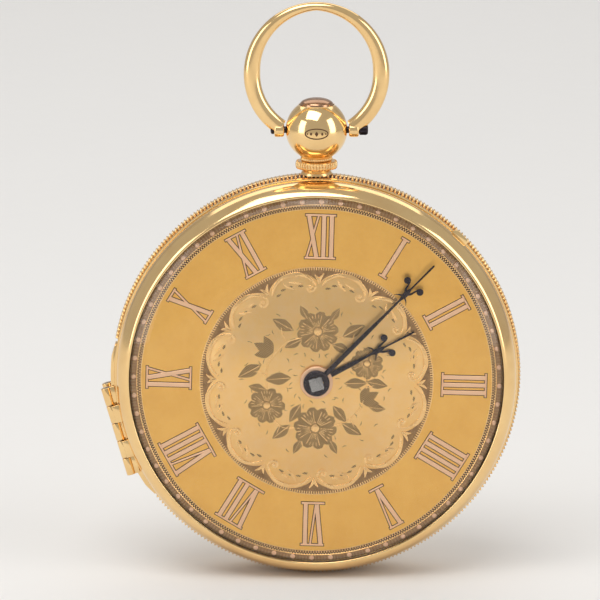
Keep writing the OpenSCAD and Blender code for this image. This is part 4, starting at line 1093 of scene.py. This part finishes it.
class WATCH_OT_hands(bpy.types.Operator):
    """Make the two blued hands"""
    bl_idname = "watch.hands"
    bl_label = "Hands"

    def hand(self, name, reach, hub, root, boss, low, angle):
        """A hand along y: stem, lens, blade, two curled arms with balls and two backward spikes."""
        stem = [(0.5, 0.11), (0.55, 0.25), (0.62, root / 2), (hub * 0.55, root * 0.42),
                (hub - 1.2, 0.11), (hub - 0.85, 0.14), (hub - 0.3, 0.27), (hub, 0.3), (hub + 0.35, 0.24),
                (hub + 0.8, 0.1), (hub + 1.1, 0.09), (reach - 0.5, 0.11), (reach - 0.12, 0.1), (reach, 0.06)]
        outline = [(w, y) for y, w in stem[1:]] + [(-w, y) for y, w in stem[:0:-1]]
        parts = [raised(name, outline, low, low + 0.15, 0.04)]
        arm = ribbon([(0.12, hub + 0.05), (0.40, hub + 0.42), (0.55, hub + 0.95), (0.68, hub + 1.36),
                      (0.95, hub + 1.55)],
                     [0.28, 0.24, 0.18, 0.16, 0.1])
        ball = moved(disc(0.39, 24), (0.97, hub + 1.25))
        spike = ribbon([(0.05, hub - 0.25), (0.28, hub - 0.42), (0.62, hub - 0.62), (0.92, hub - 0.95)],
                       [0.3, 0.2, 0.12, 0.02])
        for drop, shape in ((0.012, arm), (0.02, spike), (0.028, ball)):
            for side in (shape, mirrored(shape)):
                parts.append(raised(name, side, low, low + 0.15 - drop, 0.03))
                drop += 0.003
        eye = lathe(name, [(boss[0], low), (boss[1] - 0.06, low), (boss[1], low + 0.05),
                           (boss[1], low + boss[2] - 0.07), (boss[1] - 0.07, low + boss[2]),
                           (boss[0] + 0.25, low + boss[2]), (boss[0] + 0.2, low + boss[2] - 0.06),
                           (boss[0], low + boss[2] - 0.06)], steps=72)
        hand = settle(join(name, parts), turn=(0, 0, -angle))
        return hand, eye

    def execute(self, context):
        look = context.scene.watch_hands
        hour, hour_eye = self.hand("hour_hand_blade", look.hour_length / MM, 7.8, 0.62, (1.1, 1.84, 0.32), 0.4,
                                   math.degrees(look.hour_angle))
        finish(hour, "blued steel", "hour", ("hour_hand",), sharp=30)
        finish(settle(hour_eye), "rose gold", "hour", sharp=30)
        hour_eye.name = "hour_hand_collet"
        minute, minute_eye = self.hand("minute_hand_blade", look.minute_length / MM, 14.2, 0.56, (0.8, 1.47, 0.3),
                                       0.85, math.degrees(look.minute_angle))
        finish(minute, "blued steel", "centre", ("minute_hand",), sharp=30)
        finish(settle(minute_eye), "blued steel", "centre", sharp=30)
        minute_eye.name = "minute_hand_collet"
        return {"FINISHED"}


class WATCH_OT_stage(bpy.types.Operator):
    """Make the paper sweep, the lights and the camera"""
    bl_idname = "watch.stage"
    bl_label = "Stage"

    def light(self, name, power, size, place, aim):
        bpy.ops.object.light_add(type="AREA", location=place)
        lamp = bpy.context.object
        lamp.name = name
        lamp.data.energy = power
        lamp.data.shape = "RECTANGLE"
        lamp.data.size, lamp.data.size_y = size
        lamp.rotation_euler = (Vector(aim) - Vector(place)).to_track_quat("-Z", "Y").to_euler()
        return lamp

    def execute(self, context):
        look = context.scene.watch_stage
        floor = FLOOR_Z / MM
        sweep = draw("backdrop", [(-1500, y, z) for y, z in smooth(
            [(-900, floor), (0, floor), (900, floor), (1100, floor + 25), (1230, floor + 110),
             (1290, floor + 260), (1310, floor + 1400)], 8)])
        edit(sweep)
        bpy.ops.mesh.extrude_region_move(TRANSFORM_OT_translate={"value": (3.0, 0, 0)})
        bpy.ops.mesh.select_all(action="SELECT")
        bpy.ops.mesh.normals_make_consistent(inside=False)
        leave_edit()
        bpy.ops.object.shade_smooth()
        paper = metal("backdrop paper", look.paper, tuple(0.985 * c for c in look.paper), 0.4, 9, 0.7, 0.85,
                      3000, 0.02, metallic=0.0)
        sweep.data.materials.clear()
        sweep.data.materials.append(paper)

        world = bpy.data.worlds.new("studio")
        world.use_nodes = True
        back = world.node_tree.nodes["Background"]
        back.inputs["Color"].default_value = (0.93, 0.94, 0.96, 1)
        back.inputs["Strength"].default_value = 0.55
        context.scene.world = world
        aim = (0, 0, 0.005)
        self.light("key light", look.key_power, (0.5, 0.4), (-0.12, -0.25, 0.6), aim)
        self.light("left light", look.fill_power, (0.25, 0.5), (-0.5, -0.3, 0.15), aim)
        self.light("back light", look.back_power, (1.0, 0.5), (0, 0.55, 0.6), (0, 0.5, 0))
        self.light("right light", look.fill_power, (0.25, 0.5), (0.5, -0.25, 0.2), aim)

        target = mm((-1.84, 0, 9.3))
        lean = look.elevation
        place = target + look.distance * Vector((0, -math.cos(lean), math.sin(lean)))
        bpy.ops.object.camera_add(location=place)
        camera = context.object
        camera.name = "camera"
        camera.rotation_euler = (target - place).to_track_quat("-Z", "Y").to_euler()
        camera.data.lens = 250
        camera.data.sensor_width = 36
        camera.data.clip_start = 0.01
        context.scene.camera = camera
        context.scene.view_settings.view_transform = "Standard"
        return {"FINISHED"}


class WATCH_PT_panel(bpy.types.Panel):
    """Pieces of the pocket watch, in the order in which they are made"""
    bl_idname = "WATCH_PT_panel"
    bl_label = "Pocket watch"
    bl_space_type = "VIEW_3D"
    bl_region_type = "UI"
    bl_category = "Pocket watch"

    def draw(self, context):
        for group in SETTINGS:
            box = self.layout.box()
            settings = getattr(context.scene, group)
            for name in settings.__annotations__:
                box.prop(settings, name)
        for operator in OPERATORS:
            self.layout.operator(operator.bl_idname)


SETTINGS = {
    "watch_case": WatchCaseSettings, "watch_pendant": WatchPendantSettings, "watch_dial": WatchDialSettings,
    "watch_hands": WatchHandSettings, "watch_movement": WatchMovementSettings, "watch_stage": WatchStageSettings}
OPERATORS = (WATCH_OT_finishes, WATCH_OT_band, WATCH_OT_bezel, WATCH_OT_glass, WATCH_OT_pendant, WATCH_OT_bow,
             WATCH_OT_dial, WATCH_OT_medallion, WATCH_OT_hands, WATCH_OT_stage)


def register():
    for kind in (*SETTINGS.values(), *OPERATORS, WATCH_PT_panel):
        bpy.utils.register_class(kind)
    for name, kind in SETTINGS.items():
        setattr(bpy.types.Scene, name, bpy.props.PointerProperty(type=kind))


def unregister():
    for name in SETTINGS:
        delattr(bpy.types.Scene, name)
    for kind in (WATCH_PT_panel, *reversed(OPERATORS), *reversed(SETTINGS.values())):
        bpy.utils.unregister_class(kind)


def main():
    register()
    bpy.ops.watch.finishes()
    bpy.ops.watch.band()
    bpy.ops.watch.bezel()
    bpy.ops.watch.glass()
    bpy.ops.watch.pendant()
    bpy.ops.watch.bow()
    bpy.ops.watch.dial()
    bpy.ops.watch.medallion()
    bpy.ops.watch.hands()
    bpy.ops.watch.stage()


if __name__ == "__main__":
    main()
